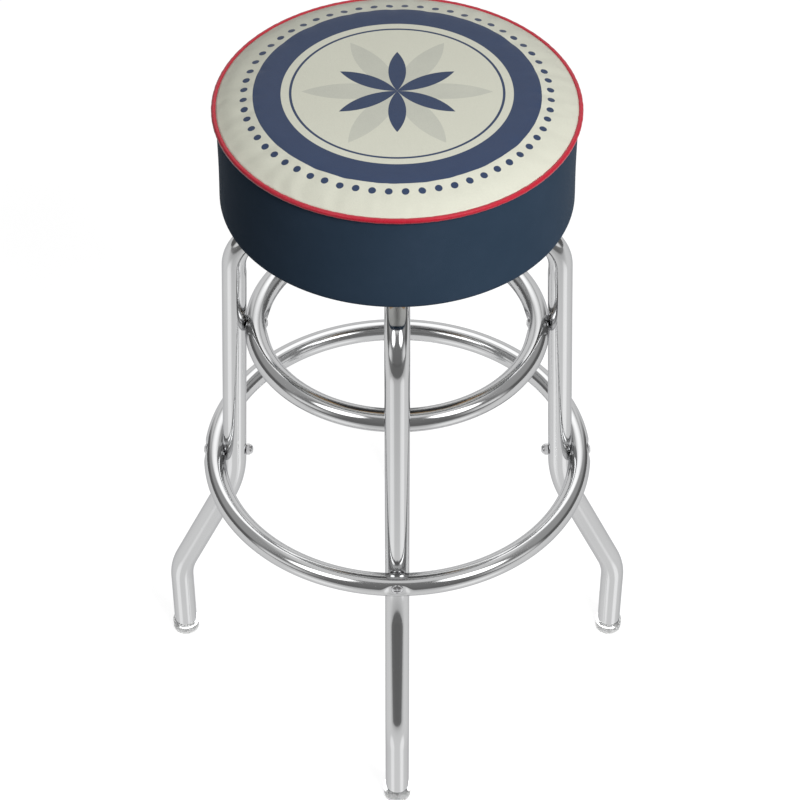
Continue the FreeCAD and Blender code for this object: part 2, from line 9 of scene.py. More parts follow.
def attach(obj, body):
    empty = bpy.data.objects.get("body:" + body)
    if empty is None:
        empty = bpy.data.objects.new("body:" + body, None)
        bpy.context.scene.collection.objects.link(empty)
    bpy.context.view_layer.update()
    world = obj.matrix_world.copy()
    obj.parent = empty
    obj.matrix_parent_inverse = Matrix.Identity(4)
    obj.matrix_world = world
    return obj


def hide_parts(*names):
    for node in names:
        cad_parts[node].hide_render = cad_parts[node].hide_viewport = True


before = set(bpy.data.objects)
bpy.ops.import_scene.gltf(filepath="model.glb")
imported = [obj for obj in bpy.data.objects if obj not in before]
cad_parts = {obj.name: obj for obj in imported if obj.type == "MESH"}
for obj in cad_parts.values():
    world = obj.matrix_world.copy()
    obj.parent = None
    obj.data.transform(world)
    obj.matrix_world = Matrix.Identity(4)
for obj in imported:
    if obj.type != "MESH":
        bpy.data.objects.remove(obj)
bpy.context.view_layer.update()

scene = bpy.context.scene
QUARTERS = [math.radians(angle) for angle in (0, 90, 180, 270)]

# Camera
# A long lens that looks down on the stool from in front, with the seat's axis a little left of centre.
CAMERA_DISTANCE = 2.0554        # in front of the stool's axis
CAMERA_HEIGHT = 2.294
CAMERA_DIP = 43.29              # degrees below the horizon
FRAME_PIXELS = 800
FOCAL_PIXELS = 2649.7
AXIS_PIXEL = 397.2              # column of the stool's axis in the photograph

camera_data = bpy.data.cameras.new("camera")
camera_data.sensor_width = 36
camera_data.lens = FOCAL_PIXELS * camera_data.sensor_width / FRAME_PIXELS
camera_data.shift_x = (FRAME_PIXELS / 2 - AXIS_PIXEL) / FRAME_PIXELS
camera = bpy.data.objects.new("camera", camera_data)
camera.location = (0, -CAMERA_DISTANCE, CAMERA_HEIGHT)
camera.rotation_euler = (math.radians(90 - CAMERA_DIP), 0, 0)
scene.collection.objects.link(camera)
scene.camera = camera
scene.view_settings.view_transform = "Standard"


# Studio
# A white floor and white side walls, a dark room behind the camera, two soft boxes at the sides and
# a bright wall behind the stool. Only the metal and the vinyl's gloss see the room; the eye sees white.
BOX_AZIMUTH = 134               # degrees round from +Y, to each side, where metal sees the boxes
LAMP_AZIMUTH_RIGHT = 146        # degrees, where the boxes' light on all else comes from
LAMP_AZIMUTH_LEFT = -134
BOX_ELEVATION = 43
BOX_DISTANCE = 2.0
BOX_WIDTH = 0.8
BOX_HEIGHT = 0.85
BOX_RADIANCE_RIGHT = 15.0
BOX_RADIANCE_LEFT = 1.0
BOX_SEEN_RIGHT = 4.0            # levels at which metal sees the boxes, with soft edges
BOX_SEEN_LEFT = 3.5
BOX_SEEN_HALF = 13              # degrees
BOX_FADE_OUTSIDE = 5
BOX_FADE_INSIDE = 4
BOUNCE_SIZE = 0.5               # light thrown up under the seat by the white floor
BOUNCE_HEIGHT = 0.01
BOUNCE_RADIANCE = 5.0
STUDIO_MIDDLE = Vector((0, 0, 0.45))
ROOM_PEAK = 3.0                 # brightest level in the room's ramps
CEILING = [(64, 0.85), (83, 0.85), (87, 0.3)]   # elevation in degrees and level, upward
FRONT_WALL = [(-90, 1), (-26, 0.85), (-14, 0.15), (-4, 0.13), (4, 0.2), (56, 0.26)]
FRONT_PANEL = [(-90, 1), (12, 1), (22, 0.25), (56, 0.26)]
SIDE_WALL = [(-90, 1), (-20, 0.8), (-10, 0.16), (16, 0.14), (26, 0.42), (56, 0.45)]
BACK_WALL = [(-90, 1), (28, 0.9), (33, 0.5), (46, 1.7), (72, 1.7)]
BACK_EDGE = (-0.88, -0.74)      # cosines of the turn from the camera between which walls meet
PANEL_EDGE = (0.1, 0.38)
FRONT_EDGE = (0.5, 0.85)
FILL_MIDDLE = 0.17              # soft light of the walls on all but metal, stronger from the right
FILL_LEAN = 0.16
FILL_FROM_ABOVE = 0.36
FLOOR_SIZE = 30
FLOOR_NEAR_EDGE = 1.05          # where the white floor that metal sees starts to end toward the camera
FLOOR_FAR_EDGE = 1.5
FLOOR_BEYOND = 0.17
FLOOR_RISE_END = 0.3            # distance in front of the stool's axis where it is at its brightest
FLOOR_FRONT_LEVEL = 0.6
FLOOR_LEVEL_RISE = 0.3
FLOOR_TINT_HALF = 1.2           # the floor throws back less light at the left than at the right
FLOOR_TINT_LEFT = 0.06
FLOOR_TINT_RIGHT = 0.5
FLOOR_GLOW = 0.86               # the floor's own white to the eye
FLOOR_SHADOWED = 0.3            # share of it that the stool's shadow takes away
FLOOR_GLOSS = 0.1
FLOOR_GLOSS_ROUGHNESS = 0.08


def node(tree, kind, inputs=None, **settings):
    """Adds a node with its settings, and links or sets its inputs."""
    added = tree.nodes.new(kind)
    for name, value in settings.items():
        setattr(added, name, value)
    for name, value in (inputs or {}).items():
        if isinstance(value, bpy.types.NodeSocket):
            tree.links.new(value, added.inputs[name])
        else:
            added.inputs[name].default_value = value
    return added


def calc(tree, operation, first, second=0.0, third=0.0):
    values = {0: first, 1: second, 2: third}
    return node(tree, "ShaderNodeMath", values, operation=operation).outputs[0]


def faded(tree, value, low, high):
    """0 below the low value, 1 above the high one, with a soft step between."""
    inputs = {"Value": value, "From Min": low, "From Max": high}
    return node(tree, "ShaderNodeMapRange", inputs, interpolation_type="SMOOTHSTEP").outputs[0]


def between(tree, factor, low, high):
    return node(tree, "ShaderNodeMapRange", {"Value": factor, "To Min": low, "To Max": high}).outputs[0]


def mixed(tree, factor, first, second):
    inputs = {0: factor, 6: first, 7: second}
    return node(tree, "ShaderNodeMix", inputs, data_type="RGBA").outputs[2]


def grey(level):
    return (level, level, level, 1)


def room_ramp(tree, height, stops):
    """Level of the room against elevation in degrees."""
    ramp = node(tree, "ShaderNodeValToRGB", {0: height})
    points = ramp.color_ramp.elements
    while len(points) < len(stops):
        points.new(0.5)
    for point, (elevation, level) in zip(points, stops):
        point.position = (elevation + 90) / 180
        point.color = grey(level / ROOM_PEAK)
    return ramp.outputs["Color"]


def box_patch(tree, direction, azimuth):
    """1 where a direction meets a soft box, fading out round its edge."""
    turn = math.radians(azimuth)
    rise = math.radians(BOX_ELEVATION)
    middle = (math.sin(turn) * math.cos(rise), math.cos(turn) * math.cos(rise), math.sin(rise))
    inputs = {0: direction, 1: middle}
    near = node(tree, "ShaderNodeVectorMath", inputs, operation="DOT_PRODUCT").outputs["Value"]
    outside = math.cos(math.radians(BOX_SEEN_HALF + BOX_FADE_OUTSIDE))
    inside = math.cos(math.radians(BOX_SEEN_HALF - BOX_FADE_INSIDE))
    return faded(tree, near, outside, inside)


def make_room():
    world = bpy.data.worlds.new("studio")
    scene.world = world
    world.use_nodes = True
    world.cycles.sampling_method = "NONE"
    tree = world.node_tree
    shader = tree.nodes["Background"]
    direction = node(tree, "ShaderNodeTexCoord").outputs["Generated"]
    x, y, z = node(tree, "ShaderNodeSeparateXYZ", {0: direction}).outputs
    height = calc(tree, "MULTIPLY_ADD", calc(tree, "ARCSINE", z), 1 / math.pi, 0.5)
    flat_length = calc(tree, "SQRT", calc(tree, "SUBTRACT", 1, calc(tree, "MULTIPLY", z, z)))
    toward_camera = calc(tree, "DIVIDE", calc(tree, "MULTIPLY", y, -1), flat_length)
    front = room_ramp(tree, height, FRONT_WALL + CEILING)
    panel = room_ramp(tree, height, FRONT_PANEL + CEILING)
    side = room_ramp(tree, height, SIDE_WALL + CEILING)
    back = room_ramp(tree, height, BACK_WALL + CEILING[1:])
    room = mixed(tree, faded(tree, toward_camera, *BACK_EDGE), back, side)
    room = mixed(tree, faded(tree, toward_camera, *PANEL_EDGE), room, panel)
    room = mixed(tree, faded(tree, toward_camera, *FRONT_EDGE), room, front)
    inputs = {0: room, "Scale": ROOM_PEAK}
    room = node(tree, "ShaderNodeVectorMath", inputs, operation="SCALE").outputs[0]
    for azimuth, level in ((BOX_AZIMUTH, BOX_SEEN_RIGHT), (-BOX_AZIMUTH, BOX_SEEN_LEFT)):
        room = mixed(tree, box_patch(tree, direction, azimuth), room, grey(level))
    to_right = calc(tree, "MULTIPLY_ADD", x, FILL_LEAN, FILL_MIDDLE)
    fill = calc(tree, "MULTIPLY_ADD", faded(tree, z, 0.0, 1.0), FILL_FROM_ABOVE, to_right)
    rays = node(tree, "ShaderNodeLightPath").outputs
    seen = calc(tree, "MAXIMUM", rays["Is Camera Ray"], rays["Is Transmission Ray"])
    light = mixed(tree, seen, fill, grey(1))
    tree.links.new(mixed(tree, rays["Is Glossy Ray"], light, room), shader.inputs["Color"])


def make_floor():
    """White to the eye, with the stool's soft shadow. Metal sees it darker, with a little gloss."""
    material = bpy.data.materials.new("floor")
    material.use_nodes = True
    tree = material.node_tree
    tree.nodes.remove(tree.nodes["Principled BSDF"])
    place = node(tree, "ShaderNodeTexCoord").outputs["Object"]
    x, y = node(tree, "ShaderNodeSeparateXYZ", {0: place}).outputs[:2]
    to_right = faded(tree, x, -FLOOR_TINT_HALF, FLOOR_TINT_HALF)
    tint = between(tree, to_right, FLOOR_TINT_LEFT, FLOOR_TINT_RIGHT)
    plain = node(tree, "ShaderNodeBsdfDiffuse", {"Color": tint}).outputs[0]
    shadowed = node(tree, "ShaderNodeBsdfDiffuse", {"Color": grey(FLOOR_SHADOWED)}).outputs[0]
    white = node(tree, "ShaderNodeEmission", {"Color": grey(FLOOR_GLOW)}).outputs[0]
    white = node(tree, "ShaderNodeAddShader", {0: white, 1: shadowed}).outputs[0]
    reach = faded(tree, y, -FLOOR_NEAR_EDGE, -FLOOR_RISE_END)
    level = calc(tree, "MULTIPLY_ADD", reach, FLOOR_LEVEL_RISE, FLOOR_FRONT_LEVEL)
    level = calc(tree, "MULTIPLY", level, faded(tree, y, -FLOOR_FAR_EDGE, -FLOOR_NEAR_EDGE))
    level = calc(tree, "MAXIMUM", level, FLOOR_BEYOND)
    mirrored = node(tree, "ShaderNodeEmission", {"Strength": level}).outputs[0]
    inputs = {"Color": grey(FLOOR_GLOSS), "Roughness": FLOOR_GLOSS_ROUGHNESS}
    gloss = node(tree, "ShaderNodeBsdfGlossy", inputs).outputs[0]
    mirrored = node(tree, "ShaderNodeAddShader", {0: mirrored, 1: gloss}).outputs[0]
    rays = node(tree, "ShaderNodeLightPath").outputs
    seen = calc(tree, "MAXIMUM", rays["Is Camera Ray"], rays["Is Transmission Ray"])
    shader = node(tree, "ShaderNodeMixShader", {0: seen, 1: plain, 2: white}).outputs[0]
    inputs = {0: rays["Is Glossy Ray"], 1: shader, 2: mirrored}
    shader = node(tree, "ShaderNodeMixShader", inputs).outputs[0]
    tree.links.new(shader, tree.nodes["Material Output"].inputs["Surface"])
    mesh = bpy.data.meshes.new("floor")
    bm = bmesh.new()
    bmesh.ops.create_grid(bm, x_segments=1, y_segments=1, size=FLOOR_SIZE / 2)
    bm.to_mesh(mesh)
    bm.free()
    floor = bpy.data.objects.new("floor", mesh)
    mesh.materials.append(material)
    scene.collection.objects.link(floor)


def soft_light(name, place, facing, width, height, radiance):
    """A rectangle of light that faces a point. Metal sees it in the room instead."""
    lamp = bpy.data.lights.new(name, "AREA")
    lamp.shape = "RECTANGLE"
    lamp.size = width
    lamp.size_y = height
    lamp.energy = radiance * math.pi * width * height
    light = bpy.data.objects.new(name, lamp)
    light.location = place
    light.rotation_euler = (place - facing).to_track_quat("Z", "Y").to_euler()
    light.visible_camera = False
    light.visible_glossy = False
    scene.collection.objects.link(light)


def soft_box(name, azimuth, radiance):
    """A soft box round the stool. Azimuth 0 is +Y and 90 is +X."""
    turn = math.radians(azimuth)
    rise = math.radians(BOX_ELEVATION)
    outward = Vector((math.sin(turn) * math.cos(rise), math.cos(turn) * math.cos(rise), math.sin(rise)))
    place = STUDIO_MIDDLE + outward * BOX_DISTANCE
    soft_light(name, place, STUDIO_MIDDLE, BOX_WIDTH, BOX_HEIGHT, radiance)


make_room()
make_floor()
soft_box("box_right", LAMP_AZIMUTH_RIGHT, BOX_RADIANCE_RIGHT)
soft_box("box_left", LAMP_AZIMUTH_LEFT, BOX_RADIANCE_LEFT)
bounce_place = Vector((0, 0, BOUNCE_HEIGHT))
soft_light("bounce", bounce_place, STUDIO_MIDDLE, BOUNCE_SIZE, BOUNCE_SIZE, BOUNCE_RADIANCE)


# Leg frames
# Two inverted U shapes of chromed steel tube, bent cold. Each is pressed half through where the two
# cross under the seat, and has small flats under the swivel and where a nut or an insert bears.
LEG_RADIUS = 0.0127
LEG_WALL = 0.0015
FOOT_SPREAD = 0.244
TUBE_END = 0.0025               # the cap's floor under the tube
LOWER_BEND = (0.1025, 0.075)    # height of the bend's corner, and its radius
SPLAY_TOP = (0.1778, 0.245, 0.15)
TOP_RUN_HEIGHT = 0.593
TOP_BEND = (0.164, 0.048)
TUBE_SPACING = 0.0024
TUBE_SIDES = 72
BEND_STEPS = 60
PRESS_SOFTNESS = 0.0004         # how softly a pressed flat runs into the round tube
PRESS_REACH = 0.03              # no point further than this from the pressed place moves
FRAME_TOP = 0.6051
FRAME_UNDERSIDE = 0.5809
HALF_PLATE = 0.0768
HALF_LAP = 0.0128
LAP_SLOPE = 1.2
NUT_PAD_PLACE = 0.067
NUT_PAD_HALF = 0.008
PAD_RADIUS = 0.0068
PAD_DEPTH = 0.0004
PAD_SLOPE = 0.5
ABOVE_RINGS = 0.5               # over this height a leg tube is only its top run and bends
TOP_RUN_REACH = 0.1
FOOT_RING_HEIGHT = 0.2822
FOOT_SCREW_HEIGHT = 0.2847
UPPER_RING_HEIGHT = 0.4677
PINCH_DEPTH = 0.0011            # how far the inside of the top bend is drawn flat
PINCH_START = -12               # degrees round the bend
PINCH_END = 102
PINCH_FADE = 20
RIPPLE_SHARE = 0.45             # the ripple where the bend starts, as a share of the flat
RIPPLE_CREST = -8
RIPPLE_WAVES = 9
RIPPLE_MIDDLE = -4
RIPPLE_SPREAD = 16
INNER_WALL_DEPTH = 0.03
MERGE_DISTANCE = 1e-7
leg_lean = (SPLAY_TOP[0] - TOP_BEND[0]) / (TOP_RUN_HEIGHT - SPLAY_TOP[1])


def leg_spread_at(height):
    return TOP_BEND[0] + (TOP_RUN_HEIGHT - height) * leg_lean


nut_face = leg_spread_at(FOOT_SCREW_HEIGHT) - LEG_RADIUS + PAD_DEPTH
insert_face = leg_spread_at(UPPER_RING_HEIGHT) - LEG_RADIUS + PAD_DEPTH


def new_tree(name, sizes):
    """A Geometry Nodes tree that takes a shape and the named sizes, and gives a shape."""
    tree = bpy.data.node_groups.new(name, "GeometryNodeTree")
    tree.interface.new_socket("Shape", in_out="INPUT", socket_type="NodeSocketGeometry")
    for size, kind in sizes.items():
        tree.interface.new_socket(size, in_out="INPUT", socket_type="NodeSocket" + kind)
    tree.interface.new_socket("Material", in_out="INPUT", socket_type="NodeSocketMaterial")
    tree.interface.new_socket("Shape", in_out="OUTPUT", socket_type="NodeSocketGeometry")
    return tree, node(tree, "NodeGroupInput").outputs


def close_tree(tree, shape, given):
    """Ends a tree in plain faces with the given material."""
    shape = node(tree, "GeometryNodeRealizeInstances", {0: shape}).outputs[0]
    inputs = {"Geometry": shape, "Material": given["Material"]}
    shape = node(tree, "GeometryNodeSetMaterial", inputs).outputs[0]
    node(tree, "NodeGroupOutput", {0: shape})


def grown(name, mesh, tree, values):
    """Runs a tree on a mesh and keeps the result as a plain mesh."""
    piece = bpy.data.objects.new(name, mesh)
    scene.collection.objects.link(piece)
    modifier = piece.modifiers.new(tree.name, "NODES")
    modifier.node_group = tree
    for item in tree.interface.items_tree:
        if item.in_out == "INPUT" and item.name in values:
            modifier[item.identifier] = values[item.name]
    depsgraph = bpy.context.evaluated_depsgraph_get()
    made = bpy.data.meshes.new_from_object(piece.evaluated_get(depsgraph), depsgraph=depsgraph)
    piece.modifiers.remove(modifier)
    piece.data = made
    return piece


def tube_tree():
    """A round tube along a line of straight runs, with a bend of its own radius at each corner."""
    tree, given = new_tree("bent_tube", {"Tube Radius": "Float", "Spacing": "Float", "Sides": "Int"})
    line = node(tree, "GeometryNodeMeshToCurve", {"Mesh": given["Shape"]}).outputs[0]
    bend = node(tree, "GeometryNodeInputNamedAttribute", {"Name": "bend_radius"},
                data_type="FLOAT").outputs[0]
    line = node(tree, "GeometryNodeFilletCurve", {"Curve": line, "Count": BEND_STEPS, "Radius": bend},
                mode="POLY").outputs[0]
    line = node(tree, "GeometryNodeResampleCurve", {"Curve": line, "Length": given["Spacing"]},
                mode="LENGTH").outputs[0]
    section = node(tree, "GeometryNodeCurvePrimitiveCircle",
                   {"Resolution": given["Sides"], "Radius": given["Tube Radius"]}).outputs[0]
    tube = node(tree, "GeometryNodeCurveToMesh",
                {"Curve": line, "Profile Curve": section, "Fill Caps": True}).outputs[0]
    close_tree(tree, tube, given)
    return tree


def line_mesh(name, corners, bends):
    mesh = bpy.data.meshes.new(name)
    mesh.from_pydata(corners, [(index, index + 1) for index in range(len(corners) - 1)], [])
    mesh.attributes.new("bend_radius", "FLOAT", "POINT").data.foreach_set("value", bends)
    return mesh


def points_of(mesh):
    points = np.empty(len(mesh.vertices) * 3)
    mesh.vertices.foreach_get("co", points)
    return points.reshape(-1, 3)


def put_points(mesh, points):
    mesh.vertices.foreach_set("co", points.ravel())
    mesh.update()


def above_zero(value, softness):
    """The value where it is positive and zero where it isn't, with a soft corner."""
    return softness * np.logaddexp(0, value / softness)


def press(points, outward, centre, flat, slope):
    """Pushes the points back behind a plane through the centre, square to the outward direction.
    The plane is flat out to the given radius, and rises outward from there at the given slope."""
    outward = np.array(outward, float)
    offset = points - np.array(centre)
    height = offset @ outward
    across = np.linalg.norm(offset - np.outer(height, outward), axis=1)
    limit = np.maximum(across - flat, 0) * slope
    chosen = (across < PRESS_REACH) & (np.abs(height) < PRESS_REACH)
    back = np.where(chosen, above_zero(height - limit, PRESS_SOFTNESS), 0)
    return points - np.outer(back, outward)


def press_top_run(points, lap_from_above):
    """Presses the flats of the top run: under the swivel, at the lap, and under the two nuts."""
    x, y, z = points.T
    limit = FRAME_TOP + np.maximum(np.abs(x) - HALF_PLATE, 0) * LAP_SLOPE
    z = z - above_zero(z - limit, PRESS_SOFTNESS)
    lap = np.maximum(np.abs(x) - HALF_LAP, 0) * LAP_SLOPE
    on_run = (np.abs(x) < TOP_RUN_REACH) & (z > ABOVE_RINGS)
    if lap_from_above:
        z = z - np.where(on_run, above_zero(z - TOP_RUN_HEIGHT - lap, PRESS_SOFTNESS), 0)
    else:
        z = z + np.where(on_run, above_zero(TOP_RUN_HEIGHT - lap - z, PRESS_SOFTNESS), 0)
    off_pad = np.maximum(np.abs(np.abs(x) - NUT_PAD_PLACE) - NUT_PAD_HALF, 0)
    z = z + np.where(on_run, above_zero(FRAME_UNDERSIDE - off_pad - z, PRESS_SOFTNESS), 0)
    return np.stack([x, y, z], axis=1)


def pinch_top_bends(points):
    """The inside of each top bend is drawn a little flat, with a faint ripple where the bend starts."""
    x, y, z = points.T
    across, up = np.abs(x) - (TOP_BEND[0] - TOP_BEND[1]), z - (TOP_RUN_HEIGHT - TOP_BEND[1])
    distance = np.hypot(across, up)
    turn = np.degrees(np.arctan2(up, across))
    inside = np.clip((TOP_BEND[1] - distance) / LEG_RADIUS, 0, 1) ** 2
    along = np.clip((turn - PINCH_START) / PINCH_FADE, 0, 1)
    along = along * np.clip((PINCH_END - turn) / PINCH_FADE, 0, 1)
    wave = np.cos(np.radians(turn - RIPPLE_CREST) * RIPPLE_WAVES)
    ripple = 1 + RIPPLE_SHARE * wave * np.exp(-((turn - RIPPLE_MIDDLE) / RIPPLE_SPREAD) ** 2)
    depth = np.where(z > ABOVE_RINGS, PINCH_DEPTH * inside * along * ripple, 0)
    move = depth / np.maximum(distance, MERGE_DISTANCE)
    return np.stack([x + np.sign(x) * across * move, y, z + up * move], axis=1)


def open_tube_ends(mesh, floor_height):
    """Gives the closed flat ends of a tube their wall thickness and the start of the bore."""
    bm = bmesh.new()
    bm.from_mesh(mesh)
    bmesh.ops.remove_doubles(bm, verts=bm.verts, dist=MERGE_DISTANCE)
    bmesh.ops.recalc_face_normals(bm, faces=bm.faces)
    low_faces = [face for face in bm.faces if face.calc_center_median().z < floor_height + LEG_WALL / 100]
    for face in low_faces:
        bmesh.ops.inset_individual(bm, faces=[face], thickness=LEG_WALL)
        bore = bmesh.ops.extrude_discrete_faces(bm, faces=[face])["faces"]
        bmesh.ops.translate(bm, verts=bore[0].verts, vec=(0, 0, INNER_WALL_DEPTH))
    bm.to_mesh(mesh)
    bm.free()


def smooth_faces(mesh):
    for face in mesh.polygons:
        face.use_smooth = True


def finish_shape(mesh, sharp_angle=35):
    smooth_faces(mesh)
    mesh.set_sharp_from_angle(angle=math.radians(sharp_angle))


def new_finish(name, roughness, metallic=0.0):
    """A new material: its node tree, its shader and the object's own coordinates."""
    material = bpy.data.materials.new(name)
    material.use_nodes = True
    tree = material.node_tree
    shader = tree.nodes["Principled BSDF"]
    shader.inputs["Roughness"].default_value = roughness
    shader.inputs["Metallic"].default_value = metallic
    place = node(tree, "ShaderNodeTexCoord").outputs["Object"]
    return material, tree, shader, place


def noise(tree, place, scale, detail=3.0, roughness=0.5):
    inputs = {"Vector": place, "Scale": scale, "Detail": detail, "Roughness": roughness}
    return node(tree, "ShaderNodeTexNoise", inputs).outputs["Fac"]


def coloured(tree, shader, factor, dark, light):
    """Colours a surface in patches between two tones."""
    tree.links.new(mixed(tree, factor, dark, light), shader.inputs["Base Color"])


def bump(tree, shader, height, depth, strength=1.0):
    inputs = {"Height": height, "Distance": depth, "Strength": strength}
    tree.links.new(node(tree, "ShaderNodeBump", inputs).outputs[0], shader.inputs["Normal"])


def chrome_finish():
    """Bright chrome plate over polished tube: faint ripple, a few hairlines and handling haze."""
    material, tree, shader, place = new_finish("chrome_tube", roughness=0.05, metallic=1.0)
    shader.inputs["Specular Tint"].default_value = (0.62, 0.62, 0.63, 1)
    haze = noise(tree, place, scale=14, detail=4)
    coloured(tree, shader, haze, (0.57, 0.575, 0.58, 1), (0.63, 0.632, 0.635, 1))
    drawn = node(tree, "ShaderNodeMapping", {"Vector": place, "Scale": (1, 1, 0.02)}).outputs[0]
    hairlines = noise(tree, drawn, scale=900, detail=2)
    roughness = calc(tree, "MULTIPLY_ADD", haze, 0.05, between(tree, hairlines, 0.055, 0.1))
    tree.links.new(roughness, shader.inputs["Roughness"])
    bump(tree, shader, noise(tree, place, scale=30, detail=1), depth=0.00006)
    return material


def leg_frame(name, lap_from_above, turn):
    """One bent tube that makes two opposite legs, first along X and then turned into place."""
    half = [
        (FOOT_SPREAD, 0, TUBE_END),
        (FOOT_SPREAD, 0, LOWER_BEND[0]),
        (SPLAY_TOP[0], 0, SPLAY_TOP[1]),
        (TOP_BEND[0], 0, TOP_RUN_HEIGHT),
    ]
    bends = [0, LOWER_BEND[1], SPLAY_TOP[2], TOP_BEND[1]]
    corners = half + [(-x, y, z) for x, y, z in reversed(half)]
    values = {"Tube Radius": LEG_RADIUS, "Spacing": TUBE_SPACING, "Sides": TUBE_SIDES,
              "Material": chrome}
    piece = grown(name, line_mesh(name, corners, bends + bends[::-1]), bent_tube, values)
    points = press_top_run(pinch_top_bends(points_of(piece.data)), lap_from_above)
    for side in (1, -1):
        for face, height in ((nut_face, FOOT_SCREW_HEIGHT), (insert_face, UPPER_RING_HEIGHT)):
            points = press(points, (-side, 0, 0), (side * face, 0, height), PAD_RADIUS, PAD_SLOPE)
    put_points(piece.data, points)
    piece.data.transform(Matrix.Rotation(turn, 4, "Z"))
    open_tube_ends(piece.data, TUBE_END)
    finish_shape(piece.data, sharp_angle=50)
    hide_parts(name)
    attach(piece, "base")


chrome = chrome_finish()
bent_tube = tube_tree()
leg_frame("leg_frame_side", lap_from_above=True, turn=0)
leg_frame("leg_frame_front", lap_from_above=False, turn=math.radians(90))


# Rings
# Two closed hoops of chromed tube, dented by each leg they press against and dimpled under each screw.
# The lower one goes round the outside of the legs as a foot rest, the upper one braces their inside.
RING_RADIUS = 0.012             # of the tube
FOOT_RING_SADDLE = 0.0037
UPPER_RING_SADDLE = 0.002
DIMPLE_DEPTH = 0.003
DIMPLE_FLOOR = 0.008
DIMPLE_RISE = 1 / 3             # rise of the dimple's flank for each metre outward
RING_SPACING = 0.0015
RING_SIDES = 64
SADDLE_CLEARANCE = 0.00004
foot_ring_circle = leg_spread_at(FOOT_RING_HEIGHT) + LEG_RADIUS + RING_RADIUS - FOOT_RING_SADDLE
upper_ring_circle = leg_spread_at(UPPER_RING_HEIGHT) - LEG_RADIUS - RING_RADIUS + UPPER_RING_SADDLE
foot_screw_seat = foot_ring_circle + RING_RADIUS - DIMPLE_DEPTH
upper_screw_seat = upper_ring_circle - RING_RADIUS + DIMPLE_DEPTH


def hoop_tree():
    """A closed ring of round tube, lying level at its own height."""
    tree, given = new_tree("hoop", {"Circle": "Float", "Height": "Float", "Tube Radius": "Float",
                                    "Steps": "Int", "Sides": "Int"})
    line = node(tree, "GeometryNodeCurvePrimitiveCircle",
                {"Resolution": given["Steps"], "Radius": given["Circle"]}).outputs[0]
    section = node(tree, "GeometryNodeCurvePrimitiveCircle",
                   {"Resolution": given["Sides"], "Radius": given["Tube Radius"]}).outputs[0]
    hoop = node(tree, "GeometryNodeCurveToMesh", {"Curve": line, "Profile Curve": section}).outputs[0]
    lift = node(tree, "ShaderNodeCombineXYZ", {"Z": given["Height"]}).outputs[0]
    hoop = node(tree, "GeometryNodeTransform", {"Geometry": hoop, "Translation": lift}).outputs[0]
    close_tree(tree, hoop, given)
    return tree


def press_by_leg(points):
    """Dents the ring where the leg on +X bears on it."""
    along = np.array([leg_lean, 0, -1])
    along = along / np.linalg.norm(along)
    offset = points - np.array([TOP_BEND[0], 0, TOP_RUN_HEIGHT])
    offset = offset - np.outer(offset @ along, along)
    distance = np.linalg.norm(offset, axis=1)
    dent = LEG_RADIUS + SADDLE_CLEARANCE
    push = np.where(points[:, 0] > 0, above_zero(dent - distance, PRESS_SOFTNESS), 0)
    return points + offset * (push / distance)[:, None]


def hoop(name, circle, height, screw_seat, screw_height, outward):
    """A ring pressed by the four legs, with its screws' dimples outside (1) or inside (-1)."""
    steps = round(math.tau * circle / RING_SPACING / 4) * 4
    values = {"Circle": circle, "Height": height, "Tube Radius": RING_RADIUS, "Steps": steps,
              "Sides": RING_SIDES, "Material": chrome}
    piece = grown(name, bpy.data.meshes.new(name), hoop_by_nodes, values)
    points = points_of(piece.data)
    for turn in QUARTERS:
        turned = np.array(Matrix.Rotation(turn, 3, "Z"))
        points = press_by_leg(points @ turned)
        dimple = (screw_seat, 0, screw_height)
        points = press(points, (outward, 0, 0), dimple, DIMPLE_FLOOR, DIMPLE_RISE)
        points = points @ turned.T
    put_points(piece.data, points)
    set_outward(piece.data)
    finish_shape(piece.data, sharp_angle=60)
    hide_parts(name)
    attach(piece, "base")


def set_outward(mesh):
    """Closes a shape's seams and points its faces outward."""
    bm = bmesh.new()
    bm.from_mesh(mesh)
    bmesh.ops.remove_doubles(bm, verts=bm.verts, dist=MERGE_DISTANCE)
    bmesh.ops.recalc_face_normals(bm, faces=bm.faces)
    bm.to_mesh(mesh)
    bm.free()


hoop_by_nodes = hoop_tree()
hoop("foot_ring", foot_ring_circle, FOOT_RING_HEIGHT, foot_screw_seat, FOOT_SCREW_HEIGHT, 1)
hoop("upper_ring", upper_ring_circle, UPPER_RING_HEIGHT, upper_screw_seat, UPPER_RING_HEIGHT, -1)


# Ring screws, cap nuts and inserts
# Plated pan-head screws with a cross recess. The foot ring's screws run inward into cap nuts,
# and the upper ring's run outward into threaded inserts set in the legs.
SCREW_RADIUS = 0.003175
SCREW_HEAD_RADIUS = 0.00635
SCREW_HEAD_HEIGHT = 0.0034
HEAD_EDGE = 0.0007              # height of the head's upright rim
HEAD_SEGMENTS = 96
DOME_STEPS = 26
EDGE_BREAK = 0.0002             # small chamfer on turned edges
RECESS_HALF_WIDTH = 0.00085
RECESS_HALF_SPAN = 0.0033
RECESS_DEPTH = 0.0019
RECESS_SIDE = 0.0004            # width of the recess's sloping sides, and of its ends
RECESS_END = 0.0009
FOOT_SCREW_LENGTH = 0.0428
UPPER_SCREW_LENGTH = 0.036
THREAD_PITCH = 0.00127
THREAD_DEPTH = 0.0004
CAP_NUT_FLATS = 0.0111
CAP_NUT_HEX_HEIGHT = 0.0046
CAP_NUT_HEIGHT = 0.008
CAP_NUT_CHAMFER = 0.0006
CAP_NUT_STEP = 0.0003           # from the flats in to the dome
CAP_NUT_OVERLAP = 0.0005
CAP_NUT_FULLNESS = 0.8
CAP_NUT_DOME_STEPS = 10
INSERT_RADIUS = 0.00475
INSERT_FLANGE_RADIUS = 0.006
INSERT_FLANGE = 0.0008
INSERT_LENGTH = 0.013


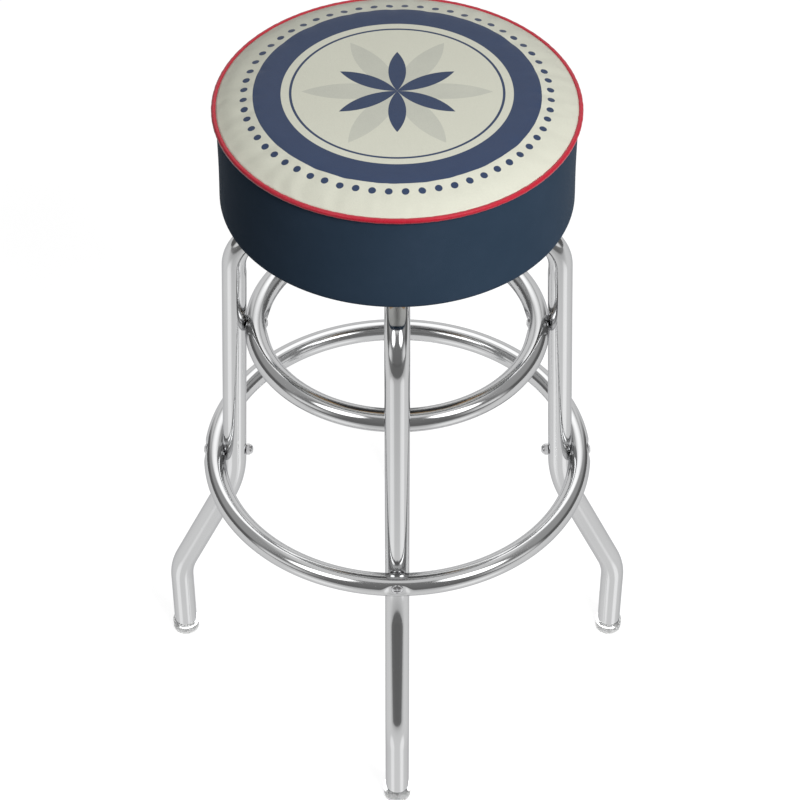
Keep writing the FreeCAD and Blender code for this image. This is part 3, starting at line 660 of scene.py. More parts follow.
def repeat_tree():
    """Repeats a shape at even steps round the stool's axis."""
    tree, given = new_tree("repeat_round", {"Count": "Int", "Circle": "Float"})
    places = node(tree, "GeometryNodePoints", {"Count": given["Count"]}).outputs[0]
    step = node(tree, "ShaderNodeMath", {0: math.tau, 1: given["Count"]}, operation="DIVIDE").outputs[0]
    index = node(tree, "GeometryNodeInputIndex").outputs[0]
    turn = node(tree, "ShaderNodeMath", {0: index, 1: step}, operation="MULTIPLY").outputs[0]
    turn = node(tree, "ShaderNodeCombineXYZ", {"Z": turn}).outputs[0]
    outward = node(tree, "ShaderNodeCombineXYZ", {"X": given["Circle"]}).outputs[0]
    inputs = {"Geometry": given["Shape"], "Translation": outward}
    shape = node(tree, "GeometryNodeTransform", inputs).outputs[0]
    repeated = node(tree, "GeometryNodeInstanceOnPoints",
                    {"Points": places, "Instance": shape, "Rotation": turn}).outputs[0]
    close_tree(tree, repeated, given)
    return tree


def level_circle(radius, height, count):
    """Points at even steps round the Z axis, at one height."""
    turns = [math.tau * step / count for step in range(count)]
    return [(radius * math.cos(turn), radius * math.sin(turn), height) for turn in turns]


def spun(outline, segments=40, name="turned"):
    """Turns an outline of (radius, height) pairs about the Z axis into a closed shape."""
    bm = bmesh.new()
    loops = []
    for radius, height in outline:
        count = segments if radius > MERGE_DISTANCE else 1
        loops.append([bm.verts.new(point) for point in level_circle(radius, height, count)])
    for low, high in zip(loops, loops[1:]):
        for step in range(segments):
            after = (step + 1) % segments
            around = ((low, step), (low, after), (high, after), (high, step))
            bm.faces.new(dict.fromkeys(loop[place % len(loop)] for loop, place in around))
    bmesh.ops.recalc_face_normals(bm, faces=bm.faces)
    mesh = bpy.data.meshes.new(name)
    bm.to_mesh(mesh)
    bm.free()
    return mesh


def arc(middle, radius, start, end, steps):
    """Points on an arc in the outline's plane, angles in degrees from the radius direction."""
    turns = [math.radians(start + (end - start) * step / steps) for step in range(steps + 1)]
    return [(middle[0] + radius * math.cos(turn), middle[1] + radius * math.sin(turn))
            for turn in turns]


def joined(name, meshes):
    bm = bmesh.new()
    for mesh in meshes:
        bm.from_mesh(mesh)
    whole = bpy.data.meshes.new(name)
    bm.to_mesh(whole)
    bm.free()
    return whole


def threaded_rod(radius, low, high, segments=20):
    """A rod whose surface waves in and out at the thread's pitch."""
    steps = max(4, round((high - low) / THREAD_PITCH * 4))
    outline = [(0, low)]
    for step in range(steps + 1):
        dip = THREAD_DEPTH * (step % 4 in (1, 2)) if 0 < step < steps else THREAD_DEPTH
        outline.append((radius - dip, low + (high - low) * step / steps))
    return spun(outline + [(0, high)], segments)


def screw_head():
    """Domed head below the origin with a cross sunk into its top, as rings of points about the axis."""
    rise = SCREW_HEAD_HEIGHT - HEAD_EDGE
    dome = (SCREW_HEAD_RADIUS ** 2 + rise ** 2) / (2 * rise)
    outline = [(0, 0), (SCREW_HEAD_RADIUS - EDGE_BREAK, 0), (SCREW_HEAD_RADIUS, -EDGE_BREAK),
               (SCREW_HEAD_RADIUS, -HEAD_EDGE)]
    for step in range(1, DOME_STEPS):
        radius = SCREW_HEAD_RADIUS * (1 - step / DOME_STEPS)
        outline.append((radius, dome - SCREW_HEAD_HEIGHT - math.sqrt(dome ** 2 - radius ** 2)))
    mesh = spun(outline + [(0, -SCREW_HEAD_HEIGHT)], HEAD_SEGMENTS)
    points = points_of(mesh)
    x, y, z = points.T
    arms = []
    for across, along in ((x, y), (y, x)):
        in_width = np.clip((RECESS_HALF_WIDTH - np.abs(across)) / RECESS_SIDE + 0.5, 0, 1)
        in_span = np.clip((RECESS_HALF_SPAN - np.abs(along)) / RECESS_END + 0.5, 0, 1)
        arms.append(in_width * in_span)
    sunk = np.maximum(*arms) * RECESS_DEPTH
    points[:, 2] = np.where(z < -HEAD_EDGE, z + sunk, z)
    put_points(mesh, points)
    return mesh


def hexagon(flats, low, high, chamfer):
    """A nut's body: six flats whose corners are turned off at both ends."""
    bm = bmesh.new()
    corner = flats / math.sqrt(3)
    face = flats / 2 - chamfer / 4
    rings = []
    for radius, height in ((face, low), (corner, low + chamfer), (corner, high - chamfer), (face, high)):
        rings.append([bm.verts.new(point) for point in level_circle(radius, height, 6)])
    for below, above in zip(rings, rings[1:]):
        for step in range(6):
            bm.faces.new([below[step - 1], below[step], above[step], above[step - 1]])
    bm.faces.new(rings[0])
    bm.faces.new(rings[-1])
    bmesh.ops.recalc_face_normals(bm, faces=bm.faces)
    mesh = bpy.data.meshes.new("hexagon")
    bm.to_mesh(mesh)
    bm.free()
    return mesh


def cap_nut():
    """A hexagon nut with a closed dome on top, its seat at the origin."""
    base = CAP_NUT_FLATS / 2 - CAP_NUT_STEP
    rise = CAP_NUT_HEIGHT - CAP_NUT_HEX_HEIGHT
    sunk = CAP_NUT_HEX_HEIGHT - CAP_NUT_OVERLAP
    outline = [(0, sunk), (base, sunk)]
    for step in range(CAP_NUT_DOME_STEPS):
        turn = math.radians(90 * step / CAP_NUT_DOME_STEPS)
        radius = base * math.cos(turn) ** CAP_NUT_FULLNESS
        outline.append((radius, CAP_NUT_HEX_HEIGHT + rise * math.sin(turn)))
    return joined("cap_nut", [hexagon(CAP_NUT_FLATS, 0, CAP_NUT_HEX_HEIGHT, CAP_NUT_CHAMFER),
                              spun(outline + [(0, CAP_NUT_HEIGHT)])])


def leg_insert():
    outline = [(SCREW_RADIUS, 0), (INSERT_FLANGE_RADIUS - EDGE_BREAK, 0),
               (INSERT_FLANGE_RADIUS, EDGE_BREAK), (INSERT_FLANGE_RADIUS, INSERT_FLANGE),
               (INSERT_RADIUS, INSERT_FLANGE + EDGE_BREAK),
               (INSERT_RADIUS, INSERT_LENGTH), (SCREW_RADIUS, INSERT_LENGTH), (SCREW_RADIUS, 0)]
    return spun(outline, 32)


def aimed(mesh, angle, spread, height):
    """Points a shape made along +Z along the ring's radius, at the leg on +X."""
    turn = Matrix.Rotation(math.radians(angle), 4, "Y")
    mesh.transform(Matrix.Translation((spread, 0, height)) @ turn)
    return mesh


def plated_finish(name, colour, roughness, wear):
    """Bright plating with cloudy roughness, fine turning marks and softly lit edges."""
    material, tree, shader, place = new_finish(name, roughness, metallic=1.0)
    cloud = noise(tree, place, scale=60, detail=4)
    dark = tuple(level * (1 - wear) for level in colour) + (1,)
    coloured(tree, shader, cloud, dark, colour + (1,))
    grain = noise(tree, place, scale=1800, detail=2)
    rough = calc(tree, "MULTIPLY_ADD", grain, roughness * 0.6, roughness * 0.6)
    rough = calc(tree, "MULTIPLY_ADD", cloud, roughness * 0.4, rough)
    tree.links.new(rough, shader.inputs["Roughness"])
    edge = node(tree, "ShaderNodeBevel", {"Radius": 0.0004}, samples=4).outputs[0]
    inputs = {"Height": grain, "Distance": 0.00002, "Normal": edge}
    tree.links.new(node(tree, "ShaderNodeBump", inputs).outputs[0], shader.inputs["Normal"])
    return material


def hardware(name, mesh, finish, body="base", count=4, circle=0.0, sharp_angle=35):
    """Repeats one fastener round the stool and puts it in the CAD node's place."""
    values = {"Count": count, "Circle": circle, "Material": finish}
    piece = grown(name, mesh, repeat_round, values)
    finish_shape(piece.data, sharp_angle)
    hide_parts(name)
    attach(piece, body)


repeat_round = repeat_tree()
bright_plate = plated_finish("bright_fasteners", (0.62, 0.62, 0.63), roughness=0.14, wear=0.12)
zinc_plate = plated_finish("zinc_steel", (0.55, 0.56, 0.57), roughness=0.26, wear=0.25)
foot_screw = joined("screw", [screw_head(), threaded_rod(SCREW_RADIUS, -EDGE_BREAK, FOOT_SCREW_LENGTH)])
upper_screw = joined("screw", [screw_head(), threaded_rod(SCREW_RADIUS, -EDGE_BREAK, UPPER_SCREW_LENGTH)])
hardware("foot_ring_screws", aimed(foot_screw, -90, foot_screw_seat, FOOT_SCREW_HEIGHT), bright_plate)
hardware("foot_ring_cap_nuts", aimed(cap_nut(), -90, nut_face, FOOT_SCREW_HEIGHT), bright_plate)
hardware("upper_ring_screws", aimed(upper_screw, 90, upper_screw_seat, UPPER_RING_HEIGHT), bright_plate)
hardware("leg_inserts", aimed(leg_insert(), 90, insert_face - INSERT_FLANGE, UPPER_RING_HEIGHT),
         zinc_plate)


# Foot caps
# Clear soft plastic caps, moulded as shallow cups a little wider than the tube that stands in them.
CAP_WALL = 0.0018
CAP_HEIGHT = 0.013
CAP_EDGE = 0.0012
CAP_MOUTH = 0.0004              # rounding of the mouth's inner edge
CAP_FLOOR_FILLET = 0.0003
cap_radius = LEG_RADIUS + CAP_WALL


def clear_plastic():
    """Clear plastic gone slightly cloudy, scuffed where it meets the floor."""
    material, tree, shader, place = new_finish("clear_cap", roughness=0.2)
    shader.inputs["IOR"].default_value = 1.45
    shader.inputs["Transmission Weight"].default_value = 0.85
    haze = noise(tree, place, scale=160, detail=4)
    coloured(tree, shader, haze, (0.74, 0.75, 0.75, 1), (0.9, 0.9, 0.89, 1))
    z = node(tree, "ShaderNodeSeparateXYZ", {0: place}).outputs[2]
    scuff = calc(tree, "MULTIPLY", calc(tree, "SUBTRACT", 1, faded(tree, z, 0, 0.004)), haze)
    tree.links.new(calc(tree, "MULTIPLY_ADD", scuff, 0.5, between(tree, haze, 0.14, 0.3)),
                   shader.inputs["Roughness"])
    bump(tree, shader, noise(tree, place, scale=700, detail=2), depth=0.00005)
    return material


def foot_cap(name, x, y):
    outline = [(0, 0)] + arc((cap_radius - CAP_EDGE, CAP_EDGE), CAP_EDGE, -90, 0, 6)
    outline += arc((cap_radius - CAP_EDGE / 2, CAP_HEIGHT - CAP_EDGE / 2), CAP_EDGE / 2, 0, 90, 4)
    outline += arc((LEG_RADIUS + CAP_MOUTH, CAP_HEIGHT - CAP_MOUTH), CAP_MOUTH, 90, 180, 3)
    outline += [(LEG_RADIUS, TUBE_END + CAP_FLOOR_FILLET), (LEG_RADIUS - CAP_FLOOR_FILLET, TUBE_END),
                (0, TUBE_END)]
    mesh = spun(outline, 64, name)
    mesh.transform(Matrix.Translation((x, y, 0)))
    mesh.materials.append(cap_plastic)
    piece = bpy.data.objects.new(name, mesh)
    scene.collection.objects.link(piece)
    finish_shape(mesh, sharp_angle=50)
    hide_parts(name)
    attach(piece, "base")


cap_plastic = clear_plastic()
for side, x, y in (("right", 1, 0), ("back", 0, 1), ("left", -1, 0), ("front", 0, -1)):
    foot_cap("foot_cap_" + side, x * FOOT_SPREAD, y * FOOT_SPREAD)


# Swivel
# Two pressed steel plates with a ball race between them, held together by a hollow rivet. The lower one
# is bolted down through the crossed tubes and the upper one carries the seat.
BALL_RADIUS = 0.00397
BALL_CIRCLE = 0.04
BALL_COUNT = 22
SWIVEL_MIDDLE = 0.62365
BOLT_RADIUS = 0.003175
BOLT_FLATS = 0.0111
BOLT_HEAD = 0.004
BOLT_CHAMFER = 0.0005
BOLT_TAIL = 0.002
PLATE_THICKNESS = 0.003
NUT_HEIGHT = 0.0055
NUT_WASHER_RADIUS = 0.0075
NUT_WASHER = 0.0012
NUT_CHAMFER = 0.0006
WASHER_EDGE = 0.00015
FRAME_BOLT_SPREAD = 0.067
SEAT_BOLT_SPREAD = 0.062
SEAT_BOLT_REACH = 0.012
BOARD_BOTTOM = 0.6422


def pressed_steel(name, colour, roughness, metallic):
    """Pressed sheet, painted or plated, with a cloudy bloom, rolling lines and softened edges."""
    material, tree, shader, place = new_finish(name, roughness, metallic)
    bloom = noise(tree, place, scale=35, detail=5, roughness=0.6)
    dark = tuple(level * 0.68 for level in colour) + (1,)
    coloured(tree, shader, bloom, dark, colour + (1,))
    rolled = node(tree, "ShaderNodeMapping", {"Vector": place, "Scale": (1, 0.03, 1)}).outputs[0]
    lines = noise(tree, rolled, scale=1200, detail=2)
    rough = between(tree, bloom, roughness - 0.1, roughness + 0.05)
    tree.links.new(calc(tree, "MULTIPLY_ADD", lines, 0.16, rough), shader.inputs["Roughness"])
    edge = node(tree, "ShaderNodeBevel", {"Radius": 0.0006}, samples=4).outputs[0]
    inputs = {"Height": lines, "Distance": 0.00003, "Normal": edge}
    tree.links.new(node(tree, "ShaderNodeBump", inputs).outputs[0], shader.inputs["Normal"])
    return material


def nylon_finish():
    """Natural nylon, off-white and slightly waxy."""
    material, tree, shader, place = new_finish("nylon_washer", roughness=0.45)
    cloud = noise(tree, place, scale=200, detail=3)
    coloured(tree, shader, cloud, (0.62, 0.6, 0.54, 1), (0.76, 0.74, 0.68, 1))
    tree.links.new(between(tree, cloud, 0.38, 0.55), shader.inputs["Roughness"])
    bump(tree, shader, noise(tree, place, scale=2500, detail=2), depth=0.00003)
    return material


def refinish(name, finish):
    """Gives a CAD piece that keeps its shape its real finish."""
    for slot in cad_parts[name].material_slots:
        slot.material = finish


def bolt_shape(head_low, head_high, shank_low, shank_high):
    return joined("bolt", [hexagon(BOLT_FLATS, head_low, head_high, BOLT_CHAMFER),
                           threaded_rod(BOLT_RADIUS, shank_low, shank_high)])


def washer_shape(radius, bore, low, high):
    edge = radius - WASHER_EDGE
    return spun([(bore, low), (edge, low), (radius, low + WASHER_EDGE), (radius, high - WASHER_EDGE),
                 (edge, high), (bore, high), (bore, low)])


swivel_paint = pressed_steel("swivel_steel", (0.03, 0.03, 0.031), roughness=0.38, metallic=0.0)
refinish("swivel_lower_plate", swivel_paint)
refinish("swivel_upper_plate", swivel_paint)
refinish("swivel_rivet", zinc_plate)
refinish("rivet_washer", nylon_finish())
refinish("ball_cage", pressed_steel("cage_steel", (0.42, 0.38, 0.28), roughness=0.34, metallic=1.0))
ball = bpy.data.meshes.new("ball")
ball_bm = bmesh.new()
bmesh.ops.create_icosphere(ball_bm, subdivisions=3, radius=BALL_RADIUS,
                           matrix=Matrix.Translation((0, 0, SWIVEL_MIDDLE)))
ball_bm.to_mesh(ball)
ball_bm.free()
ball_finish = plated_finish("ball_steel", (0.6, 0.6, 0.6), roughness=0.08, wear=0.1)
hardware("swivel_balls", ball, ball_finish, body="cage", count=BALL_COUNT,
         circle=BALL_CIRCLE, sharp_angle=180)

bolt_seat = FRAME_TOP + PLATE_THICKNESS
washer_low = FRAME_UNDERSIDE - NUT_WASHER
nut_low = washer_low - NUT_HEIGHT
hardware("frame_bolts", bolt_shape(bolt_seat, bolt_seat + BOLT_HEAD, nut_low - BOLT_TAIL, bolt_seat),
         zinc_plate, circle=FRAME_BOLT_SPREAD)
frame_washer = washer_shape(NUT_WASHER_RADIUS, BOLT_RADIUS, washer_low, FRAME_UNDERSIDE)
hardware("frame_bolt_washers", frame_washer, zinc_plate, circle=FRAME_BOLT_SPREAD)
hardware("frame_bolt_nuts", hexagon(BOLT_FLATS, nut_low, washer_low, NUT_CHAMFER), zinc_plate,
         circle=FRAME_BOLT_SPREAD)


# Seat board
# A plywood disc under the padding, with the upper plate's bolts driven into tee nuts from below.
BOARD_TOP = 0.6572
TEE_NUT_BARREL = 0.0043
TEE_NUT_LENGTH = 0.01
TEE_NUT_FLANGE = 0.0095
TEE_NUT_FLANGE_THICKNESS = 0.0015
PLY_COUNT = 9


def plywood_finish():
    """Birch plywood: long streaked grain on the faces and light and dark plies round the edge."""
    material, tree, shader, place = new_finish("plywood", roughness=0.6)
    streaked = node(tree, "ShaderNodeMapping", {"Vector": place, "Scale": (1, 0.06, 1)}).outputs[0]
    grain = noise(tree, streaked, scale=260, detail=5, roughness=0.65)
    drawn_out = node(tree, "ShaderNodeMapping", {"Vector": place, "Scale": (1, 0.02, 1)}).outputs[0]
    pores_and_groove_shade = noise(tree, drawn_out, scale=1500, detail=2)
    face = mixed(tree, grain, (0.42, 0.26, 0.13, 1), (0.66, 0.47, 0.28, 1))
    open_pores = calc(tree, "MULTIPLY", faded(tree, pores_and_groove_shade, 0.58, 0.72), 0.5)
    face = mixed(tree, open_pores, face, (0.24, 0.14, 0.07, 1))
    z = node(tree, "ShaderNodeSeparateXYZ", {0: place}).outputs[2]
    above = calc(tree, "SUBTRACT", z, BOARD_BOTTOM)
    ply = calc(tree, "MULTIPLY", above, PLY_COUNT / (BOARD_TOP - BOARD_BOTTOM))
    band = faded(tree, calc(tree, "PINGPONG", ply, 1.0), 0.35, 0.65)
    edge = mixed(tree, band, (0.36, 0.22, 0.11, 1), (0.62, 0.45, 0.27, 1))
    normal = node(tree, "ShaderNodeNewGeometry").outputs["Normal"]
    upward = node(tree, "ShaderNodeSeparateXYZ", {0: normal}).outputs[2]
    flat = faded(tree, calc(tree, "ABSOLUTE", upward), 0.4, 0.6)
    coloured(tree, shader, flat, edge, face)
    tree.links.new(between(tree, grain, 0.5, 0.75), shader.inputs["Roughness"])
    bump(tree, shader, pores_and_groove_shade, depth=0.0001)
    return material


def at_corner(mesh):
    """Moves a shape from the stool's axis to the bolt hole at a corner of the swivel's plate."""
    mesh.transform(Matrix.Translation((SEAT_BOLT_SPREAD, SEAT_BOLT_SPREAD, 0)))
    return mesh


refinish("seat_board", plywood_finish())
head_top = BOARD_BOTTOM - PLATE_THICKNESS
seat_bolt = bolt_shape(head_top - BOLT_HEAD, head_top, head_top, BOARD_BOTTOM + SEAT_BOLT_REACH)
hardware("seat_bolts", at_corner(seat_bolt), zinc_plate, body="seat")
tee_nut = spun([(BOLT_RADIUS, BOARD_TOP - TEE_NUT_LENGTH), (TEE_NUT_BARREL, BOARD_TOP - TEE_NUT_LENGTH),
                (TEE_NUT_BARREL, BOARD_TOP - TEE_NUT_FLANGE_THICKNESS),
                (TEE_NUT_FLANGE, BOARD_TOP - TEE_NUT_FLANGE_THICKNESS), (TEE_NUT_FLANGE, BOARD_TOP),
                (BOLT_RADIUS, BOARD_TOP), (BOLT_RADIUS, BOARD_TOP - TEE_NUT_LENGTH)], 32)
hardware("tee_nuts", at_corner(tee_nut), zinc_plate, body="seat")


# Foam pad
# A thick disc of polyurethane foam glued to the board, trimmed to fill the cover tightly.
SEAT_HEIGHT = 0.765
SEAT_RADIUS = 0.176
SKIRT_BOTTOM = 0.641
VINYL = 0.0012
CROWN_RADIUS = 4.50125
CROWN_REACH = 0.15              # where the crown's flat arc runs into the shoulder
SHOULDER_RADIUS = 0.035621
SHOULDER_REACH = 0.174          # where the shoulder has come round to 45 degrees
PIPING_HEIGHT = 0.749187
PIPING_CIRCLE = 0.1769
PIPING_RADIUS = 0.0026
FOAM_EASE = 0.0004              # kept clear of the band's inside
FOAM_INSET = 0.0035             # under the panel, which is drawn tight over it
FOAM_EDGE = 0.002
FOAM_SHOULDER_EASE = 0.0035     # inside the shoulder's end, where the foam's top starts
FOAM_SHOULDER_STEP = 0.003
FOAM_SHOULDER_STEPS = 8
FOAM_CROWN_REACHES = [0.14, 0.11, 0.08, 0.05, 0.02]
crown_turn = math.asin(CROWN_REACH / CROWN_RADIUS)


def crown_point(reach, inset=0.0):
    """Radius and height on the cover's top. Reach is the outer face's radius there."""
    if reach <= CROWN_REACH:
        turn = math.asin(reach / CROWN_RADIUS)
        return reach - inset * math.sin(turn), SEAT_HEIGHT - CROWN_RADIUS * (1 - math.cos(turn)) - inset
    middle = CROWN_REACH - SHOULDER_RADIUS * math.sin(crown_turn)
    crown_drop = CROWN_RADIUS * (1 - math.cos(crown_turn))
    base = SEAT_HEIGHT - crown_drop - SHOULDER_RADIUS * math.cos(crown_turn)
    turn = math.asin(min(reach, SHOULDER_REACH) / SHOULDER_RADIUS - middle / SHOULDER_RADIUS)
    past = max(reach - SHOULDER_REACH, 0)
    radius = middle + (SHOULDER_RADIUS - inset) * math.sin(turn) + past
    return radius, base + (SHOULDER_RADIUS - inset) * math.cos(turn) - past


def foam_finish():
    """Open-cell foam, pale yellow with fine pits."""
    material, tree, shader, place = new_finish("foam", roughness=0.9)
    cells = node(tree, "ShaderNodeTexVoronoi", {"Vector": place, "Scale": 900.0}).outputs["Distance"]
    cloud = noise(tree, place, scale=25, detail=3)
    colour = mixed(tree, cloud, (0.72, 0.62, 0.36, 1), (0.82, 0.74, 0.5, 1))
    colour = mixed(tree, calc(tree, "MULTIPLY", cells, 0.5), colour, (0.5, 0.4, 0.2, 1))
    tree.links.new(colour, shader.inputs["Base Color"])
    tree.links.new(between(tree, cloud, 0.8, 1.0), shader.inputs["Roughness"])
    bump(tree, shader, cells, depth=0.0006)
    return material


def make_foam():
    side = SEAT_RADIUS - VINYL - 2 * FOAM_EASE
    inset = VINYL + FOAM_INSET
    under_piping = PIPING_HEIGHT - 2 * PIPING_RADIUS
    outline = [(0, BOARD_TOP), (side - FOAM_EDGE, BOARD_TOP), (side, BOARD_TOP + FOAM_EDGE),
               (side, under_piping)]
    first = SHOULDER_REACH - FOAM_SHOULDER_EASE
    reaches = [first - step * FOAM_SHOULDER_STEP for step in range(FOAM_SHOULDER_STEPS)]
    outline += [crown_point(reach, inset) for reach in reaches + FOAM_CROWN_REACHES]
    mesh = spun(outline + [(0, SEAT_HEIGHT - inset)], 96, "seat_foam")
    mesh.materials.append(foam_finish())
    piece = bpy.data.objects.new("seat_foam", mesh)
    scene.collection.objects.link(piece)
    finish_shape(mesh, sharp_angle=60)
    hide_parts("seat_foam")
    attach(piece, "seat")


make_foam()


# Cushion cover
# Vinyl on a cloth backing, stuffed tight: a printed round panel and a plain navy band, sewn together
# through the piping. The band's lower edge is pulled round the board and stapled under it.
COVER_RINGS = 32
SEAM_RADIUS = 0.1753
SEAM_HEIGHT = 0.75079
BAND_TOP = 0.7474
BAND_ROWS = 20
EDGE_RADIUS = 0.005             # where the band turns under the board
HEM_WIDTH = 0.026
HEM_ROWS = 5
TUCK = 0.0006                   # how far the band is pulled in under the piping
CROWN_SLACK = 0.0025            # how far the cover starts inside its full shape, before it is blown up
BAND_SLACK = 0.0009
CROWN_SWELL = 0.003             # the furthest a point may swell
BAND_SWELL = 0.0012
SWELL_PRESSURE = 4.0
SWELL_FRAMES = 20
PUCKER = 0.00028                # puckers beside the seam
PUCKER_REACH = 0.012
PUCKER_START = 0.004            # from the seam to where they are full
PUCKER_WAVES = ((41, 1, 1), (58, 0.7, 2.2), (29, 0.6, 0))   # waves round the seat, share and start
RIM_SPREAD = 0.12               # how much closer the panel's rows lie at its rim
CREAM = (0.62, 0.623, 0.53, 1)
CREAM_WORN = (0.57, 0.572, 0.48, 1)
PRINT_NAVY = (0.007, 0.022, 0.07, 1)
PRINT_NAVY_WORN = (0.012, 0.033, 0.09, 1)
PRINT_PALE = (0.42, 0.43, 0.38, 1)
PRINT_SOFTNESS = 0.00015        # of the print's edges
PRINT_BAND = (0.112, 0.139)     # radii of the broad printed ring
PRINT_LINE = (0.1015, 0.104)
DOT_CIRCLE = 0.148
DOT_COUNT = 60
DOT_SIZE = 0.0036
PETAL_COUNT = 6
PETAL_LENGTH = 0.064
PALE_PETAL_LENGTH = 0.092
columns = 8 * COVER_RINGS
crown_slack = CROWN_SLACK


def panel_grid():
    """A disc of four-sided faces with no pole: the square rings of a grid, each drawn out round."""
    side = 2 * COVER_RINGS + 1
    points, rim = [], []
    for down in range(-COVER_RINGS, COVER_RINGS + 1):
        for along in range(-COVER_RINGS, COVER_RINGS + 1):
            share = max(abs(along), abs(down)) / COVER_RINGS
            if abs(along) >= abs(down):
                turn = math.pi / 4 * down / (along or 1) + math.pi * (along < 0)
            else:
                turn = math.pi / 2 - math.pi / 4 * along / down + math.pi * (down < 0)
            reach = SEAM_RADIUS * ((1 + RIM_SPREAD) * share - RIM_SPREAD * share ** 4)
            radius, height = crown_point(reach)
            slack = crown_slack * (1 - (reach / SEAM_RADIUS) ** 4)
            if share == 1:
                rim.append((turn % math.tau, len(points)))
            points.append((radius * math.cos(turn), radius * math.sin(turn), height - slack))
    faces = []
    for row in range(side - 1):
        for step in range(side - 1):
            corner = row * side + step
            faces.append((corner, corner + 1, corner + 1 + side, corner + side))
    return points, faces, [index for turn, index in sorted(rim)]


def band_outline():
    """Radius and height down the band, round the board's edge and in along the hem."""
    outline = []
    for row in range(BAND_ROWS + 1):
        share = row / BAND_ROWS
        height = BAND_TOP + (SKIRT_BOTTOM + EDGE_RADIUS - BAND_TOP) * share
        slack = BAND_SLACK * math.sin(math.pi * share) + TUCK * (1 - share) ** 6
        outline.append((SEAT_RADIUS - slack, height))
    outline += arc((SEAT_RADIUS - EDGE_RADIUS, SKIRT_BOTTOM + EDGE_RADIUS), EDGE_RADIUS, 0, -90, 6)[1:]
    bend = SEAT_RADIUS - EDGE_RADIUS
    hem = SEAT_RADIUS - HEM_WIDTH - bend
    outline += [(bend + hem * step / HEM_ROWS, SKIRT_BOTTOM) for step in range(1, HEM_ROWS + 1)]
    return outline


def blown_up(points, faces, held, most):
    """Blows the cover up as cloth, and lets no point move further than its limit."""
    mesh = bpy.data.meshes.new("cover")
    mesh.from_pydata(points, [], faces)
    cover = bpy.data.objects.new("cover", mesh)
    scene.collection.objects.link(cover)
    group = cover.vertex_groups.new(name="held")
    group.add([int(index) for index in held], 1.0, "REPLACE")
    cloth = cover.modifiers.new("blown", "CLOTH")
    settings = cloth.settings
    settings.quality = 5
    settings.mass = 0.3
    settings.use_pressure = True
    settings.uniform_pressure_force = SWELL_PRESSURE
    settings.effector_weights.gravity = 0
    settings.vertex_group_mass = "held"
    cloth.point_cache.frame_end = SWELL_FRAMES
    for frame_number in range(1, SWELL_FRAMES + 1):
        scene.frame_set(frame_number)
    depsgraph = bpy.context.evaluated_depsgraph_get()
    start = points_of(mesh)
    move = points_of(cover.evaluated_get(depsgraph).data) - start
    distance = np.maximum(np.linalg.norm(move, axis=1), 1e-9)
    scene.frame_set(1)
    bpy.data.objects.remove(cover)
    bpy.data.meshes.remove(mesh)
    return start + move * (most * np.tanh(distance / most) / distance)[:, None]


def puckered(points):
    """Small uneven gathers in the vinyl on both sides of the seam."""
    x, y, z = points.T
    radius = np.hypot(x, y)
    turn = np.arctan2(y, x)
    wave = sum(share * np.cos(count * turn + start) for count, share, start in PUCKER_WAVES)
    from_seam = np.hypot(radius - SEAM_RADIUS, z - SEAM_HEIGHT)
    strength = PUCKER * wave * np.exp(-(from_seam / PUCKER_REACH) ** 2)
    strength = strength * np.minimum(from_seam / PUCKER_START, 1)
    side = np.clip((SEAM_HEIGHT - z) / PUCKER_START, 0, 1)
    grown_out = 1 + strength * side / np.maximum(radius, SHOULDER_RADIUS)
    return np.stack([x * grown_out, y * grown_out, z + strength * (1 - side)], axis=1)


def leather_grain(tree, place):
    """Height of the embossed grain: small rounded cells with finer ones inside."""
    warp = node(tree, "ShaderNodeTexNoise", {"Vector": place, "Scale": 400.0}).outputs["Color"]
    warp = node(tree, "ShaderNodeVectorMath", {0: warp, "Scale": 0.0008}, operation="SCALE").outputs[0]
    place = node(tree, "ShaderNodeVectorMath", {0: place, 1: warp}, operation="ADD").outputs[0]
    cells = node(tree, "ShaderNodeTexVoronoi", {"Vector": place, "Scale": 850.0},
                 feature="DISTANCE_TO_EDGE").outputs["Distance"]
    fine = noise(tree, place, scale=2600, detail=2)
    return calc(tree, "MULTIPLY_ADD", fine, 0.25, faded(tree, cells, 0.0, 0.35))


def both(tree, first, second):
    return calc(tree, "MULTIPLY", first, second)


def length_of(tree, first, second):
    """Length of the sloping line across a step of the two given sides."""
    return calc(tree, "SQRT", calc(tree, "ADD", both(tree, first, first), both(tree, second, second)))


def past(tree, value, limit):
    """0 below the limit and 1 above it, with the print's soft edge."""
    return faded(tree, value, limit - PRINT_SOFTNESS, limit + PRINT_SOFTNESS)


def within(tree, value, limit):
    return calc(tree, "SUBTRACT", 1, past(tree, value, limit))


def stripe(tree, value, low, high):
    """1 between the two values, with soft edges."""
    return both(tree, past(tree, value, low), within(tree, value, high))


def from_middle(tree, turn, step):
    """Turn from the middle of the even step round the seat that a point lies in."""
    return calc(tree, "SUBTRACT", calc(tree, "MODULO", turn, step), step / 2)


def petals(tree, radius, turn, length, start):
    """Petals drawn with a compass: each lies between two arcs that meet at its two tips."""
    step = math.tau / PETAL_COUNT
    turn = calc(tree, "SUBTRACT", turn, start - math.tau - step / 2)
    offset = calc(tree, "ABSOLUTE", from_middle(tree, turn, step))
    along = both(tree, radius, calc(tree, "COSINE", offset))
    across = both(tree, radius, calc(tree, "SINE", offset))
    along = calc(tree, "SUBTRACT", along, length / 2)
    across = calc(tree, "ADD", across, length * math.sqrt(3) / 2)
    return within(tree, length_of(tree, along, across), length)


def dots(tree, radius, turn):
    """A ring of round dots at even steps."""
    offset = from_middle(tree, calc(tree, "ADD", turn, math.tau), math.tau / DOT_COUNT)
    across = both(tree, offset, radius)
    along = calc(tree, "SUBTRACT", radius, DOT_CIRCLE)
    return within(tree, length_of(tree, along, across), DOT_SIZE)


